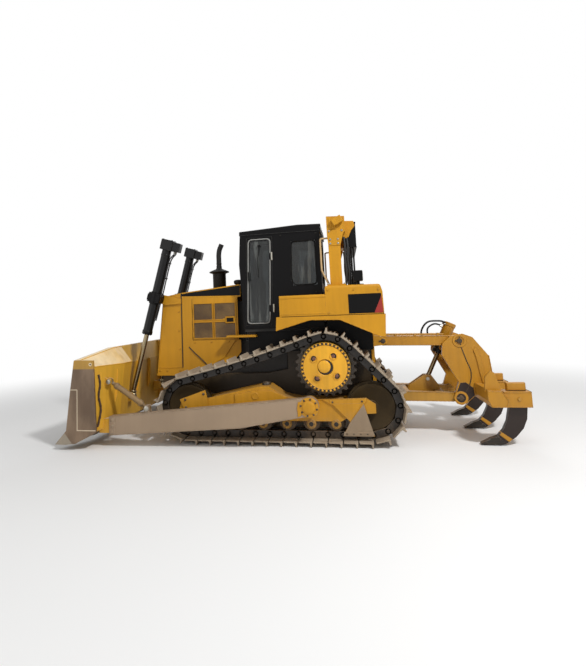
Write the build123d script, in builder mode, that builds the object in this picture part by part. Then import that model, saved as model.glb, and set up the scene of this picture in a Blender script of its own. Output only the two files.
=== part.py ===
from build123d import *
from math import asin, atan2, cos, degrees, hypot, pi, radians, sin
import os

# Crawler dozer with elevated sprockets, a semi-U blade on outside push arms and a rear ripper.
# Millimetres. +X is forward, +Y is the machine's left, +Z is up, and Z = 0 is the ground under
# the track grousers. The origin lies midway between the blade's tip and the ripper's back.
# Side outlines give x forward from the sprocket's axis and z up from the ground.

os.makedirs("parts", exist_ok=True)

# ---- driving dimensions -------------------------------------------------------------------
sprocket_x = -625.0          # sprocket axis from the origin
pin_gap = 0.3                # radial clearance of pins, shafts and panes in their seats
side_gap = 6.0               # clearance beside moving links, eyes and arms

# tracks
track_gauge = 1880.0         # between the track centre lines
shoe_width = 560.0
shoe_count = 39
grouser_height = 57.0
plate_out, plate_in = 76.0, 54.0     # shoe plate's faces, out from the pin line
rail_in = 50.0                       # link rail's running face, in from the pin line
rail_spread, rail_width = 150.0, 45.0
front_idler_x, rear_idler_x = 2015.0, -590.0
idler_pitch_r, sprocket_pitch_r = 375.0, 415.0
sprocket_z = 1060.0
top_run_sag = 36.0
track_y = track_gauge / 2
pin_line_z = grouser_height + plate_out
idler_z = pin_line_z + idler_pitch_r

# rollers and their frame
roller_count, roller_first_x, roller_step = 6, -105.0, 336.0
roller_r, roller_end_r = 110.0, 78.0
roller_z = pin_line_z + rail_in + roller_r + pin_gap
frame_half, frame_plate = 190.0, 45.0        # roller frame's outer half width and its side plates
trunnion = (231.0, 572.0)                    # push-arm trunnion in the side view
trunnion_r = 60.0

# push arms and blade
arm_y, arm_width = 1370.0, 120.0
arm_front_x = 3100.0
blade_half, end_plate = 1630.0, 30.0
bend_y, recess_y = 1050.0, 800.0
lift_eye = (3125.0, 585.0)
lift_y = 600.0
eye_r, eye_bore_r, eye_width, eye_pin_r = 62.0, 46.0, 76.0, 33.0
ear_width = 26.0
brace_low, brace_high = (2527.0, 545.0), (3108.0, 925.0)
brace_eye_r, brace_pin_r, brace_width, brace_ear = 42.0, 22.0, 50.0, 20.0

# lift cylinders
yoke = (2690.0, 2140.0)
barrel_r, barrel_bore_r = 75.0, 55.0
rod_r = 38.0
barrel_down, barrel_up = 600.0, 800.0        # below and above the yoke's axis
gland, rod_head = 50.0, 35.0
yoke_arm, yoke_pin_r, clamp_half = 30.0, 34.0, 84.0
lift_rod_length = 1490.0

# main frame, and the tow tongue at its front
case_half = 430.0
tow_reach, tow_half, tow_thick, tow_bore_r = 150.0, 80.0, 60.0, 25.0
rail_half_in = 300.0

# engine enclosure
guard_half, guard_wall = 480.0, 40.0
panel = 25.0
split_x = 2290.0                             # joint between the radiator guard and the hood

# cab
cab_half, cab_wall = 650.0, 50.0
cab_floor_z, cab_top_z = 1600.0, 3050.0
glass = 8.0

# rear
fender_half, fender_in = 1150.0, 660.0
seam_z = 1765.0
tank_top = 2182.0
tank_front_x, tank_rear_x = -50.0, -830.0
tank_fall, tank_slope = 6.0, 36.0            # fall of its top, and length of its rear slope

# ripper: the lower and upper links are parallel and as long as each other
ripper_low_front, ripper_low_rear = (-800.0, 545.0), (-1853.0, 525.0)
ripper_top_rear = (-1890.0, 1330.0)
ripper_top_front = (
    ripper_top_rear[0] + ripper_low_front[0] - ripper_low_rear[0],
    ripper_top_rear[1] + ripper_low_front[1] - ripper_low_rear[1],
)
link_y, link_width = 350.0, 110.0
link_pin_r, link_end_r = 36.0, 72.0
cheek_y, cheek = 440.0, 56.0
ripper_trunnion, ripper_lug = (-1723.0, 1239.0), (-1483.0, 741.0)
beam_half = 1100.0
shank_ys = (900.0, 0.0, -900.0)
shank_width = 75.0

hands = (("left", 1), ("right", -1))


# ---- helpers ------------------------------------------------------------------------------
def side(y=0.0):
    """Side-view plane at y: its x runs forward from the sprocket and its y up from the ground."""
    return Plane(origin=(sprocket_x, y, 0), x_dir=(1, 0, 0), z_dir=(0, -1, 0))


def save(builder, name):
    """Label a finished piece and write it."""
    builder.part.label = name
    export_step(builder.part, f"parts/{name}.step")


def slab(points, y, width, mode=Mode.ADD):
    """A side outline as a plate of the given width, centred on y."""
    with BuildSketch(side(y)) as outline:
        with BuildLine():
            Polyline(*points, close=True)
        make_face()
    extrude(outline.sketch, amount=width / 2, both=True, mode=mode)


def many_sided(radius, mode=Mode.ADD, sides=None):
    """A circle as a polygon just inside it, or just outside it when it cuts a hole."""
    sides = sides or (12 if radius < 90 else 18)
    if mode == Mode.SUBTRACT:
        return RegularPolygon(radius, sides, major_radius=False, rotation=180 / sides)
    return RegularPolygon(radius, sides)


def drum(centre, radius, y, width, mode=Mode.ADD):
    """A round bar across the machine, centred on y."""
    with BuildSketch(side(y)) as round_face:
        with Locations(centre):
            many_sided(radius, mode)
    extrude(round_face.sketch, amount=width / 2, both=True, mode=mode)


def post(x, y, low, high, radius):
    """An upright round bar at x from the sprocket."""
    with BuildSketch(Plane(origin=(sprocket_x + x, y, low))) as foot:
        RegularPolygon(radius, 8)
    extrude(foot.sketch, amount=high - low)


def block(x, y, z, mode=Mode.ADD):
    """A box from three (low, high) pairs, x from the sprocket."""
    with Locations((sprocket_x + (x[0] + x[1]) / 2, (y[0] + y[1]) / 2, (z[0] + z[1]) / 2)):
        Box(x[1] - x[0], abs(y[1] - y[0]), z[1] - z[0], mode=mode)


def along(start, end, y):
    """Plane at a side-view point with its normal towards another, and its x across the machine."""
    direction = (end[0] - start[0], 0, end[1] - start[1])
    return Plane(origin=(sprocket_x + start[0], y, start[1]), x_dir=(0, 1, 0), z_dir=direction)


def turned(bands, plane, mode=Mode.ADD):
    """Stack round bands along the plane's normal, each from (low, high, radius, radius at high)."""
    for low, high, radius, far_radius in bands:
        sides = 12 if max(radius, far_radius) < 90 else 18
        with BuildSketch(plane.offset(low)) as near:
            many_sided(radius, mode, sides)
        if far_radius == radius:
            extrude(near.sketch, amount=high - low, mode=mode)
        else:
            with BuildSketch(plane.offset(high)) as far:
                many_sided(far_radius, mode, sides)
            loft([near.sketch, far.sketch], ruled=True, mode=mode)


# ---- tracks -------------------------------------------------------------------------------
def chain_path():
    """Dense points of the pin line: a run, then an arc, for each of the three wheels in turn."""
    wheels = (
        (rear_idler_x, idler_z, idler_pitch_r, 0.0),
        (front_idler_x, idler_z, idler_pitch_r, top_run_sag),
        (0.0, sprocket_z, sprocket_pitch_r, 0.0),
    )                                        # x, z, pin-line radius, sag of the run that follows
    headings = []
    for (ax, az, ar, _), (bx, bz, br, _) in zip(wheels, wheels[1:] + wheels[:1]):
        spacing = hypot(bx - ax, bz - az)
        headings.append(atan2(bz - az, bx - ax) + asin((ar - br) / spacing))
    points = []
    steps = 40
    for i, (ax, az, ar, sag) in enumerate(wheels):
        bx, bz, br, _ = wheels[(i + 1) % 3]
        out, turned = headings[i], headings[(i + 1) % 3]
        if turned < out:
            turned += 2 * pi
        for k in range(steps):
            t = k / steps
            normal = (sin(out), -cos(out))
            drop = -sag * 4 * t * (1 - t)
            x = ax + ar * normal[0] + t * (bx + br * normal[0] - ax - ar * normal[0])
            z = az + ar * normal[1] + t * (bz + br * normal[1] - az - ar * normal[1])
            points.append((x + drop * normal[0], z + drop * normal[1]))
        for k in range(steps):
            angle = out + (turned - out) * k / steps
            points.append((bx + br * sin(angle), bz - br * cos(angle)))
    return points


def chain_pins():
    """Pin centres, the same distance apart along the closed pin line."""
    points = chain_path()
    lengths = [hypot(q[0] - p[0], q[1] - p[1]) for p, q in zip(points, points[1:] + points[:1])]
    step = sum(lengths) / shoe_count
    pins, walked, wanted = [], 0.0, 0.0
    for p, q, length in zip(points, points[1:] + points[:1], lengths):
        while wanted < walked + length and len(pins) < shoe_count:
            t = (wanted - walked) / length
            pins.append((p[0] + t * (q[0] - p[0]), p[1] + t * (q[1] - p[1])))
            wanted += step
        walked += length
    return pins


def stations(pins, table):
    """Points for each link from (distance from its first pin, distance out) rows."""
    found = []
    for (px, pz), (qx, qz) in zip(pins, pins[1:] + pins[:1]):
        pitch = hypot(qx - px, qz - pz)
        dx, dz = (qx - px) / pitch, (qz - pz) / pitch
        for share, offset, out in table:
            s = share * pitch + offset
            found.append((px + dx * s + dz * out, pz + dz * s - dx * out))
    return found


def ring(outer, inner, y, width):
    """The band between two closed side outlines."""
    with BuildSketch(side(y)) as band:
        with BuildLine():
            Polyline(*outer, close=True)
        make_face()
        with BuildLine():
            Polyline(*inner, close=True)
        make_face(mode=Mode.SUBTRACT)
    extrude(band.sketch, amount=width / 2, both=True)


pins = chain_pins()
shoe_gap, grouser_base, grouser_tip, joint_web = 7.0, 40.0, 15.0, 10.0
# share of the pitch, distance past it, distance out from the pin line
shoe_table = (
    (0, shoe_gap, plate_out),
    (0, shoe_gap + 8, plate_out + grouser_height),
    (0, shoe_gap + 8 + grouser_tip, plate_out + grouser_height),
    (0, shoe_gap + grouser_base, plate_out),
    (1, -shoe_gap, plate_out),
    (1, 0, plate_in + joint_web),
)
rail_table = ((0, 16, -rail_in), (1, -16, -rail_in), (1, 0, 16 - rail_in))
shoe_outline = stations(pins, shoe_table)
shoe_inner = stations(pins, ((0, 0, plate_in),))
rail_outer = stations(pins, ((0, 0, plate_in + 4),))
rail_inner = stations(pins, rail_table)
for hand, s in hands:
    with BuildPart() as track:
        ring(shoe_outline, shoe_inner, s * track_y, shoe_width)
        for edge in (-1, 1):
            ring(rail_outer, rail_inner, s * track_y + edge * rail_spread / 2, rail_width)
    save(track, f"track_{hand}")

# ---- final drives with their toothed rims, idlers and rollers --------------------------------
sprocket_teeth, rim_width = 26, 70.0
hub_r, hub_face_y = 338.0, 1190.0
pitch = hypot(pins[1][0] - pins[0][0], pins[1][1] - pins[0][1])
chord = cos(asin(pitch / 2 / idler_pitch_r))
idler_r = idler_pitch_r * chord - rail_in - 1
idler_hub_r = 89.0
with BuildPart() as tooth_rim:
    tip_r, root_r = sprocket_pitch_r + 14, sprocket_pitch_r - 22
    teeth = []
    for k in range(sprocket_teeth):
        for share, r in ((0.14, root_r), (0.5, tip_r), (0.78, tip_r)):
            turn = 2 * pi * (k + share) / sprocket_teeth
            teeth.append((r * cos(turn), sprocket_z + r * sin(turn)))
    slab(teeth, 0, rim_width)
with BuildPart() as final_drives:
    for hand, s in hands:
        axis_plane = Plane(origin=(sprocket_x, 0, sprocket_z), x_dir=(1, 0, 0), z_dir=(0, s, 0))
        turned(
            (
                (case_half, 700, 250, 250), (700, 800, 250, hub_r - 20), (800, 890, hub_r - 20, hub_r - 20),
                (890, hub_face_y - 60, hub_r, hub_r), (hub_face_y - 60, hub_face_y - 24, hub_r, hub_r - 22),
                (hub_face_y - 24, hub_face_y - 12, 112, 112),
            ),
            axis_plane,
        )
        add(tooth_rim.part.moved(Location((0, s * track_y, 0))))
save(final_drives, "final_drives")

with BuildPart() as idlers:
    for hand, s in hands:
        for x in (front_idler_x, rear_idler_x):
            hub_plane = Plane(
                origin=(sprocket_x + x, 0, idler_z), x_dir=(1, 0, 0), z_dir=(0, s, 0)
            )
            hub_low, hub_high = track_y - frame_half + frame_plate, track_y + frame_half - frame_plate
            turned(
                (
                    (hub_low + pin_gap, hub_high - pin_gap, idler_hub_r, idler_hub_r),
                    (track_y - 95, track_y + 95, idler_r, idler_r),
                ),
                hub_plane,
            )
save(idlers, "idlers")

with BuildPart() as rollers:
    for hand, s in hands:
        for k in range(roller_count):
            roller_plane = Plane(
                origin=(sprocket_x + roller_first_x + k * roller_step, 0, roller_z),
                x_dir=(1, 0, 0),
                z_dir=(0, s, 0),
            )
            end = frame_half - frame_plate - pin_gap
            for half, radius in ((end, roller_end_r), (112, roller_r)):
                with BuildSketch(roller_plane.offset(track_y - half)) as roller_face:
                    RegularPolygon(radius, 12)
                extrude(roller_face.sketch, amount=2 * half)
save(rollers, "track_rollers")

# roller frames: box beams between the idlers with side plates that carry every shaft
with BuildPart() as roller_frames:
    for hand, s in hands:
        outer_y = s * (track_y + frame_half)
        beam_low = roller_z + roller_r + 30
        slab(
            (
                (-215, beam_low), (-215, 610), (380, 610), (600, 660), (800, 800), (950, 796),
                (1655, 640), (1655, beam_low),
            ),
            s * track_y,
            2 * (frame_half - frame_plate),
        )
        for edge in (-1, 1):
            slab(
                (
                    (-640, 440), (-640, 560), (-520, 640), (-440, 612), (380, 612), (600, 662), (800, 802),
                    (950, 798),
                    (1700, 640), (2100, 600), (2140, 470), (2000, 430), (1700, 330), (-180, 330),
                    (-330, 420),
                ),
                s * (track_y + edge * (frame_half - frame_plate / 2)),
                frame_plate,
            )
        # trunnion for the push arm, out past the shoes
        boss_end = arm_y - arm_width / 2 - side_gap
        drum(trunnion, 105, s * (track_y + frame_half + boss_end) / 2, boss_end - track_y - frame_half)
        pin_end = arm_y + arm_width / 2 + side_gap
        drum(trunnion, trunnion_r, s * (boss_end + pin_end) / 2, pin_end - boss_end)
        drum(trunnion, 88, s * (pin_end + 9), 18)
        # guards at the rear: a folded plate and the bolted wear plate under it
        slab(
            ((60, 618), (-530, 642), (-470, 505), (-600, 160), (-600, 140), (-190, 140), (-330, 400)),
            outer_y + s * 8,
            16,
        )
        # idler guard at the front
        slab(((2120, 625), (1735, 755), (1700, 630), (1700, 480), (2060, 480)), outer_y + s * 8, 16)
save(roller_frames, "roller_frames")

# ---- main frame, belly guard, cross members ---------------------------------------------------
case_rear_x, case_front_x, case_low, case_top = -660.0, 460.0, 500.0, 1400.0
rail_low, rail_top = 600.0, 900.0
guard_low_z = 880.0
with BuildPart() as main_frame:
    slab(
        (
            (case_rear_x, 560), (case_rear_x, case_top), (case_front_x, case_top),
            (case_front_x + 140, 1250), (case_front_x + 140, rail_low), (case_front_x, case_low),
            (-560, case_low),
        ),
        0,
        2 * case_half,
    )
    for edge in (-1, 1):
        slab(
            (
                (case_front_x + 140, rail_low), (case_front_x + 140, rail_top + 60),
                (900, rail_top), (split_x - 10, guard_low_z), (2660, guard_low_z), (2660, 720),
                (2450, rail_low),
            ),
            edge * (case_half + rail_half_in) / 2,
            case_half - rail_half_in,
        )
    block((2440, 2600), (-rail_half_in, rail_half_in), (640, 800))
    # tow tongue with its bored pin hole
    block((2590, 2590 + tow_reach), (-tow_half, tow_half), (690, 690 + tow_thick))
    with Locations((sprocket_x + 2590 + tow_reach - 55, 0, 690 + tow_thick / 2)):
        Cylinder(tow_bore_r, tow_thick + 10, mode=Mode.SUBTRACT)
    # pivot shaft and equaliser bar out to the roller frames
    for edge in (-1, 1):
        reach = track_y - frame_half
        drum(trunnion, 90, edge * (case_half + reach) / 2, reach - case_half)
    slab(((1400, 470), (1400, 600), (1570, 600), (1570, 470)), 0, 2 * (track_y - frame_half))
    # cab pedestal and the tower under the fuel tank
    block((100, 1150), (-380, 380), (case_top, cab_floor_z - 50))
    slab(((-600, case_top), (-600, seam_z), (-90, seam_z), (-90, case_top)), 0, 760)
    # supports out to the fenders, behind the cab
    for edge in (-1, 1):
        block((-420, -200), (edge * 380, edge * fender_in), (seam_z - 60, seam_z - 10))
save(main_frame, "main_frame")

with BuildPart() as belly_guard:
    slab(
        (
            (-560, 500), (-450, 400), (1900, 400), (2450, 600), (2460, 584), (1906, 380),
            (-456, 380), (-574, 490),
        ),
        0,
        2 * case_half,
    )
    for x in (-300, 900):
        block((x, x + 60), (-case_half + 20, case_half - 20), (400, 500 if x < 0 else rail_low))
save(belly_guard, "belly_guard")

with BuildPart() as engine_block:
    block((620, 2050), (-rail_half_in + pin_gap, rail_half_in - pin_gap), (640, 1390))
    block((1290, 2050), (-240, 240), (1390, 2040))
save(engine_block, "engine_block")

# ---- radiator guard, grille and hood ----------------------------------------------------------
guard_outline = (
    (split_x, guard_low_z), (2736, guard_low_z), (2609, 2074), (2601, 2155), (split_x, 2207),
)
grille_low, grille_high, grille_half = 1000.0, 2030.0, 395.0


def guard_front(z):
    """Front face of the radiator guard at height z."""
    return 2736 + (2609 - 2736) * (z - guard_low_z) / (2074 - guard_low_z)


with BuildPart() as radiator_guard:
    slab(guard_outline, 0, 2 * guard_half)
    slab(
        (
            (split_x - 10, guard_low_z + guard_wall), (2560, guard_low_z + guard_wall),
            (2500, 2105), (split_x - 10, 2140),
        ),
        0,
        2 * (guard_half - guard_wall),
        mode=Mode.SUBTRACT,
    )
    block((2450, 2800), (-grille_half, grille_half), (grille_low, grille_high), mode=Mode.SUBTRACT)
    for edge in (-1, 1):
        # bracket arm that carries the lift cylinder's yoke
        arm_mid = edge * (guard_half + yoke_arm / 2)
        slab(
            (
                (2290, 2030), (2290, 2110), (yoke[0] - 40, yoke[1] + 62), (yoke[0] + 40, yoke[1] + 62),
                (yoke[0] + 62, yoke[1]), (yoke[0] + 40, yoke[1] - 62), (2560, 2020),
            ),
            arm_mid,
            yoke_arm,
        )
        drum(yoke, yoke_pin_r + pin_gap, arm_mid, yoke_arm + 20, mode=Mode.SUBTRACT)
save(radiator_guard, "radiator_guard")

louvre_count = 12
with BuildPart() as grille:
    lean = degrees(atan2(2736 - 2609, 2074 - guard_low_z))
    grille_x = guard_front(grille_low) - 34
    grille_plane = Plane(
        origin=(sprocket_x + grille_x, 0, grille_low),
        x_dir=(0, 1, 0),
        z_dir=(cos(radians(lean)), 0, sin(radians(lean))),
    )
    clear_half, grille_tall = grille_half - pin_gap, (grille_high - grille_low) - 6
    with BuildSketch(grille_plane) as grille_face:
        with Locations((0, grille_tall / 2 + 3)):
            Rectangle(2 * clear_half, grille_tall)
            Rectangle(2 * clear_half - 70, grille_tall - 70, mode=Mode.SUBTRACT)
        for k in range(louvre_count):
            with Locations((0, 60 + k * (grille_tall - 110) / (louvre_count - 1))):
                Rectangle(2 * clear_half - 40, 26)
        with Locations((0, grille_tall / 2 + 3)):
            Rectangle(34, grille_tall - 30)
    extrude(grille_face.sketch, amount=26)
save(grille, "grille")

with BuildPart() as radiator:
    block(
        (split_x + 30, split_x + 150),
        (-guard_half + guard_wall, guard_half - guard_wall),
        (guard_low_z + guard_wall, 2060),
    )
save(radiator, "radiator")

hood_rear_x, hood_side_z = 1300.0, 2105.0


def hood_low(x):
    """Lower edge of the hood's side at x."""
    return hood_side_z + 14 * (x - hood_rear_x) / (split_x - hood_rear_x)


with BuildPart() as hood:
    slab(
        ((split_x, hood_low(split_x)), (split_x, 2207), (hood_rear_x, 2305), (hood_rear_x, hood_side_z)),
        0,
        2 * guard_half,
    )
    top_edges = hood.edges().filter_by(lambda e: e.length > 900).sort_by(Axis.Z)[-2:]
    fillet(top_edges, 34)
    slab(
        (
            (split_x + 5, hood_side_z - 5), (split_x + 5, 2190), (hood_rear_x - 5, 2289),
            (hood_rear_x - 5, hood_side_z - 5),
        ),
        0,
        2 * (guard_half - panel),
        mode=Mode.SUBTRACT,
    )
save(hood, "hood")

door_low = 1425.0
with BuildPart() as engine_panels:
    for hand, s in hands:
        slab(
            (
                (split_x, door_low), (split_x, hood_low(split_x)),
                (hood_rear_x + 56, hood_low(hood_rear_x + 56)),
                (hood_rear_x + 56, door_low),
            ),
            s * (guard_half - panel / 2),
            panel,
        )
        # two by two recessed windows
        for x_low, x_high in ((1500, 1760), (1800, 2060)):
            for z_low, z_high in ((1480, 1720), (1770, 2010)):
                block(
                    (x_low, x_high), (s * (guard_half - 10), s * (guard_half + 5)), (z_low, z_high),
                    mode=Mode.SUBTRACT,
                )
        slab(
            (
                (split_x, 940), (split_x, door_low + 1), (hood_rear_x + 100, door_low + 1),
                (1600, 1150), (2000, 940),
            ),
            s * (guard_half - panel / 2),
            panel,
        )
save(engine_panels, "engine_panels")

muffler_x, cleaner_x = 1760.0, 1430.0


def hood_top(x):
    """Top of the hood at x."""
    return 2207 + (2305 - 2207) * (split_x - x) / (split_x - hood_rear_x)


with BuildPart() as exhaust:
    base = Plane(origin=(sprocket_x + muffler_x, 0, 0), x_dir=(1, 0, 0), z_dir=(0, 0, 1))
    foot = hood_top(muffler_x) + 12
    turned(
        (
            (foot, 2530, 112, 112), (2530, 2548, 112, 170), (2548, 2560, 170, 170),
            (2560, 2616, 170, 44),
        ),
        base,
    )
    with BuildLine() as stack_path:
        Polyline(
            (sprocket_x + muffler_x, 0, 2600), (sprocket_x + muffler_x, 0, 2850),
            (sprocket_x + muffler_x - 16, 0, 2940), (sprocket_x + muffler_x - 60, 0, 3040),
        )
    with BuildSketch(Plane(origin=stack_path.line @ 0, z_dir=stack_path.line % 0)) as stack_ring:
        RegularPolygon(43, 10)
    sweep(stack_ring.sketch, path=stack_path.line, transition=Transition.RIGHT)
    # air precleaner behind the stack
    cleaner = Plane(origin=(sprocket_x + cleaner_x, 0, 0), x_dir=(1, 0, 0), z_dir=(0, 0, 1))
    turned(
        ((hood_top(cleaner_x) + 5.7, 2335, 55, 55), (2335, 2390, 78, 78), (2390, 2410, 78, 50)),
        cleaner,
    )
save(exhaust, "exhaust")

# ---- fenders, side boxes and fuel tank ----------------------------------------------------------
arch = ((663, 1574), (175, 1713), (-235, 1703), (-752, 1467), (-829, 1458), (-846, seam_z), (648, seam_z))
with BuildPart() as fenders:
    for hand, s in hands:
        slab(arch, s * (fender_half + fender_in) / 2, fender_half - fender_in)
save(fenders, "fenders")

with BuildPart() as side_boxes:
    for hand, s in hands:
        block((tank_front_x, 600), (s * fender_in, s * (fender_half - 10)), (seam_z, 2065))
    fillet(side_boxes.edges().filter_by(Axis.X).group_by(Axis.Z)[-1], 24)
save(side_boxes, "side_boxes")

with BuildPart() as fuel_tank:
    slab(
        (
            (tank_front_x, seam_z), (tank_front_x, tank_top),
            (tank_rear_x + tank_slope, tank_top - tank_fall), (tank_rear_x + 6, 2072),
            (tank_rear_x, seam_z),
        ),
        0,
        2 * (fender_half - 10),
    )
    fillet(fuel_tank.faces().sort_by(Axis.Z)[-1].edges(), 40)
save(fuel_tank, "fuel_tank")

# ---- cab ----------------------------------------------------------------------------------------
cab_front, cab_belt, cab_front_top, cab_rear = 1213.0, 1268.0, 1240.0, 0.0
belt_z = 2594.0
cab_outline = (
    (cab_rear, cab_floor_z), (cab_front, cab_floor_z), (cab_belt, belt_z),
    (cab_front_top, cab_top_z), (cab_rear, cab_top_z),
)
cab_inner = (
    (cab_rear + cab_wall, cab_floor_z - 5), (cab_front - cab_wall, cab_floor_z - 5),
    (cab_belt - cab_wall, belt_z), (cab_front_top - cab_wall, cab_top_z + 5),
    (cab_rear + cab_wall, cab_top_z + 5),
)
door_outline = ((1185, 1650), (1130, 3000), (735, 3000), (790, 1650))
door_frame, door_gap = 42.0, 8.0
door_hinge = (745.0, cab_half + 15)          # x from the sprocket, y from the middle


def inset(points, by):
    """Corners of a four-sided outline moved in towards its middle by about the same distance."""
    cx = sum(p[0] for p in points) / len(points)
    cz = sum(p[1] for p in points) / len(points)
    return tuple((x + (by if x < cx else -by), z + (by if z < cz else -by)) for x, z in points)


door_window = inset(door_outline, door_frame)
side_window = ((70, 2230), (70, 2920), (450, 2920), (470, 2330), (430, 2230))
front_window = ((-520, 520), (2390, 2960))
rear_window = ((-480, 480), (2260, 2930))
with BuildPart() as cab_shell:
    slab(cab_outline, 0, 2 * cab_half)
    slab(cab_inner, 0, 2 * (cab_half - cab_wall), mode=Mode.SUBTRACT)
    for hand, s in hands:
        wall_y = s * (cab_half - cab_wall / 2)
        slab(inset(door_outline, -door_gap), wall_y, cab_wall + 10, mode=Mode.SUBTRACT)
        slab(side_window, wall_y, cab_wall + 10, mode=Mode.SUBTRACT)
    block((1000, 1400), *front_window, mode=Mode.SUBTRACT)
    block((-50, 100), *rear_window, mode=Mode.SUBTRACT)
save(cab_shell, "cab_shell")

with BuildPart() as cab_roof:
    slab(
        (
            (cab_rear - 18, cab_top_z), (cab_front_top + 8, cab_top_z), (cab_front_top + 4, 3116),
            (341, 3166), (cab_rear - 18, 3156),
        ),
        0,
        2 * (cab_half + 10),
    )
    fillet(cab_roof.edges().filter_by(lambda e: abs(e.center().Y) > cab_half and e.center().Z > 3120), 30)
save(cab_roof, "cab_roof")

with BuildPart() as cab_floor:
    block((0, 1210), (-cab_half + 20, cab_half - 20), (cab_floor_z - 50, cab_floor_z))
    for hand, s in hands:
        block((1040, 1365), (s * (cab_half - 140), s * (cab_half + 60)), (1475, 1500))
        block((1060, 1190), (s * (cab_half - 130), s * (cab_half - 60)), (1500, cab_floor_z - 50))
save(cab_floor, "cab_floor")


with BuildPart() as cab_glass:
    for hand, s in hands:
        slab(inset(side_window, pin_gap), s * (cab_half - cab_wall / 2), glass)
    y_low, y_high = front_window[0]
    z_low, z_high = front_window[1]
    # the pane's inner face at its foot, at the belt and at its head
    foot_x = cab_front - 30 + (cab_belt - cab_front) * (z_low - cab_floor_z) / (belt_z - cab_floor_z)
    belt_x, head_x = cab_belt - 30, cab_front_top - 24
    slab(
        (
            (foot_x, z_low + pin_gap), (foot_x + glass, z_low + pin_gap), (belt_x + glass, belt_z),
            (head_x + glass, z_high - pin_gap), (head_x, z_high - pin_gap), (belt_x, belt_z),
        ),
        0,
        y_high - y_low - 2 * pin_gap,
    )
    block(
        (20, 20 + glass),
        (rear_window[0][0] + pin_gap, rear_window[0][1] - pin_gap),
        (rear_window[1][0] + pin_gap, rear_window[1][1] - pin_gap),
    )
save(cab_glass, "cab_glass")

for hand, s in hands:
    with BuildPart() as door:
        slab(door_outline, s * (cab_half - cab_wall / 2), cab_wall - 8)
        slab(door_window, s * (cab_half - cab_wall / 2), cab_wall, mode=Mode.SUBTRACT)
        # hinge barrels on the outside of the rear edge
        for z in (1900, 2700):
            post(door_hinge[0], s * door_hinge[1], z - 60, z + 60, 13)
            jamb = door_outline[3][0] - 55 * (z - 1650) / 1350
            leaf_low, leaf_high = s * (cab_half + pin_gap), s * door_hinge[1]
            block((door_hinge[0], jamb + 36), (leaf_low, leaf_high), (z - 50, z + 50))
            block((jamb + 6, jamb + 30), (s * (cab_half - 6), s * (cab_half + 2)), (z - 50, z + 50))
        # handle by the front edge
        block((1100, 1125), (s * (cab_half - 4), s * (cab_half + 40)), (2330, 2345))
        block((1100, 1125), (s * (cab_half - 4), s * (cab_half + 40)), (2455, 2470))
        block((1100, 1125), (s * (cab_half + 26), s * (cab_half + 40)), (2345, 2455))
    save(door, f"door_{hand}")
    with BuildPart() as door_glass:
        slab(inset(door_window, pin_gap), s * (cab_half - cab_wall / 2), glass)
    save(door_glass, f"door_glass_{hand}")

with BuildPart() as seat:
    block((300, 760), (-250, 250), (2020, 2130))
    slab(((250, 2130.3), (170, 2790), (260, 2810), (370, 2130.3)), 0, 480)
save(seat, "seat")
with BuildPart() as controls:
    block((380, 680), (-200, 200), (cab_floor_z, 2019.7))
    for edge in (-1, 1):
        block((330, 820), (edge * 300, edge * 420), (cab_floor_z, 2260))
        post(760, edge * 360, 2259, 2400, 16)
    block((1030, 1140), (-420, 420), (cab_floor_z, 2360))
save(controls, "controls")

# ---- ROPS, condenser, pipes, lamps and handrails ---------------------------------------------
rops_front, rops_rear, rops_y, rops_w = -130.0, -300.0, 900.0, 160.0
with BuildPart() as rops:
    for hand, s in hands:
        slab(
            ((rops_front, tank_top), (rops_front, 2930), (rops_rear, 2930), (rops_rear, tank_top)),
            s * rops_y,
            rops_w,
        )
        foot_y = (s * (rops_y - 110), s * (rops_y + 110))
        block((rops_rear - 45, rops_front + 45), foot_y, (tank_top, tank_top + 22))
    slab(
        (
            (rops_front + 12, 2900), (rops_front + 12, 3192), (rops_rear - 76, 3180),
            (rops_rear - 76, 2960), (rops_rear - 10, 2900),
        ),
        0,
        2 * (rops_y + rops_w / 2),
    )
save(rops, "rops")

cond_front, cond_rear = rops_rear - 76, -530.0
with BuildPart() as condenser:
    block((cond_rear, cond_front), (-760, 760), (2745, 3122))
    for k in range(9):
        slot = (2780 + k * 36, 2798 + k * 36)
        block((cond_rear - 5, cond_rear + 18), (-700, 700), slot, mode=Mode.SUBTRACT)
    # refrigerant pipes down to the tank's top
    for hand, s in hands:
        for k in range(3):
            post(-415 - k * 34, s * 700, tank_top, 2750, 13)
save(condenser, "condenser")


def tank_z(x):
    """Height of the fuel tank's sloping top at x."""
    return tank_top - tank_fall * (tank_front_x - x) / (tank_front_x - tank_rear_x - tank_slope)


with BuildPart() as lamps:
    for hand, s in hands:
        block((-580, -450), (s * 850, s * 990), (2235, 2385))
        block((-540, -490), (s * 905, s * 935), (tank_z(-490), 2235))
save(lamps, "lamps")

rail_r = 13.0
with BuildPart() as handrails:
    for hand, s in hands:
        rail_y = s * (rops_y + 20)
        with BuildLine() as rail:
            Polyline(
                (sprocket_x + rops_front, rail_y, 2880), (sprocket_x - 45, rail_y, 2880),
                (sprocket_x - 15, rail_y, 2850), (sprocket_x - 15, rail_y, 2420),
                (sprocket_x - 101, rail_y, tank_top + 32),
            )
        with BuildSketch(Plane(origin=rail.line @ 0, z_dir=rail.line % 0)) as tube:
            RegularPolygon(rail_r, 8)
        sweep(tube.sketch, path=rail.line, transition=Transition.RIGHT)
        post(-101, rail_y, tank_top + 22, tank_top + 36, rail_r + 2)
save(handrails, "handrails")

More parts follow.
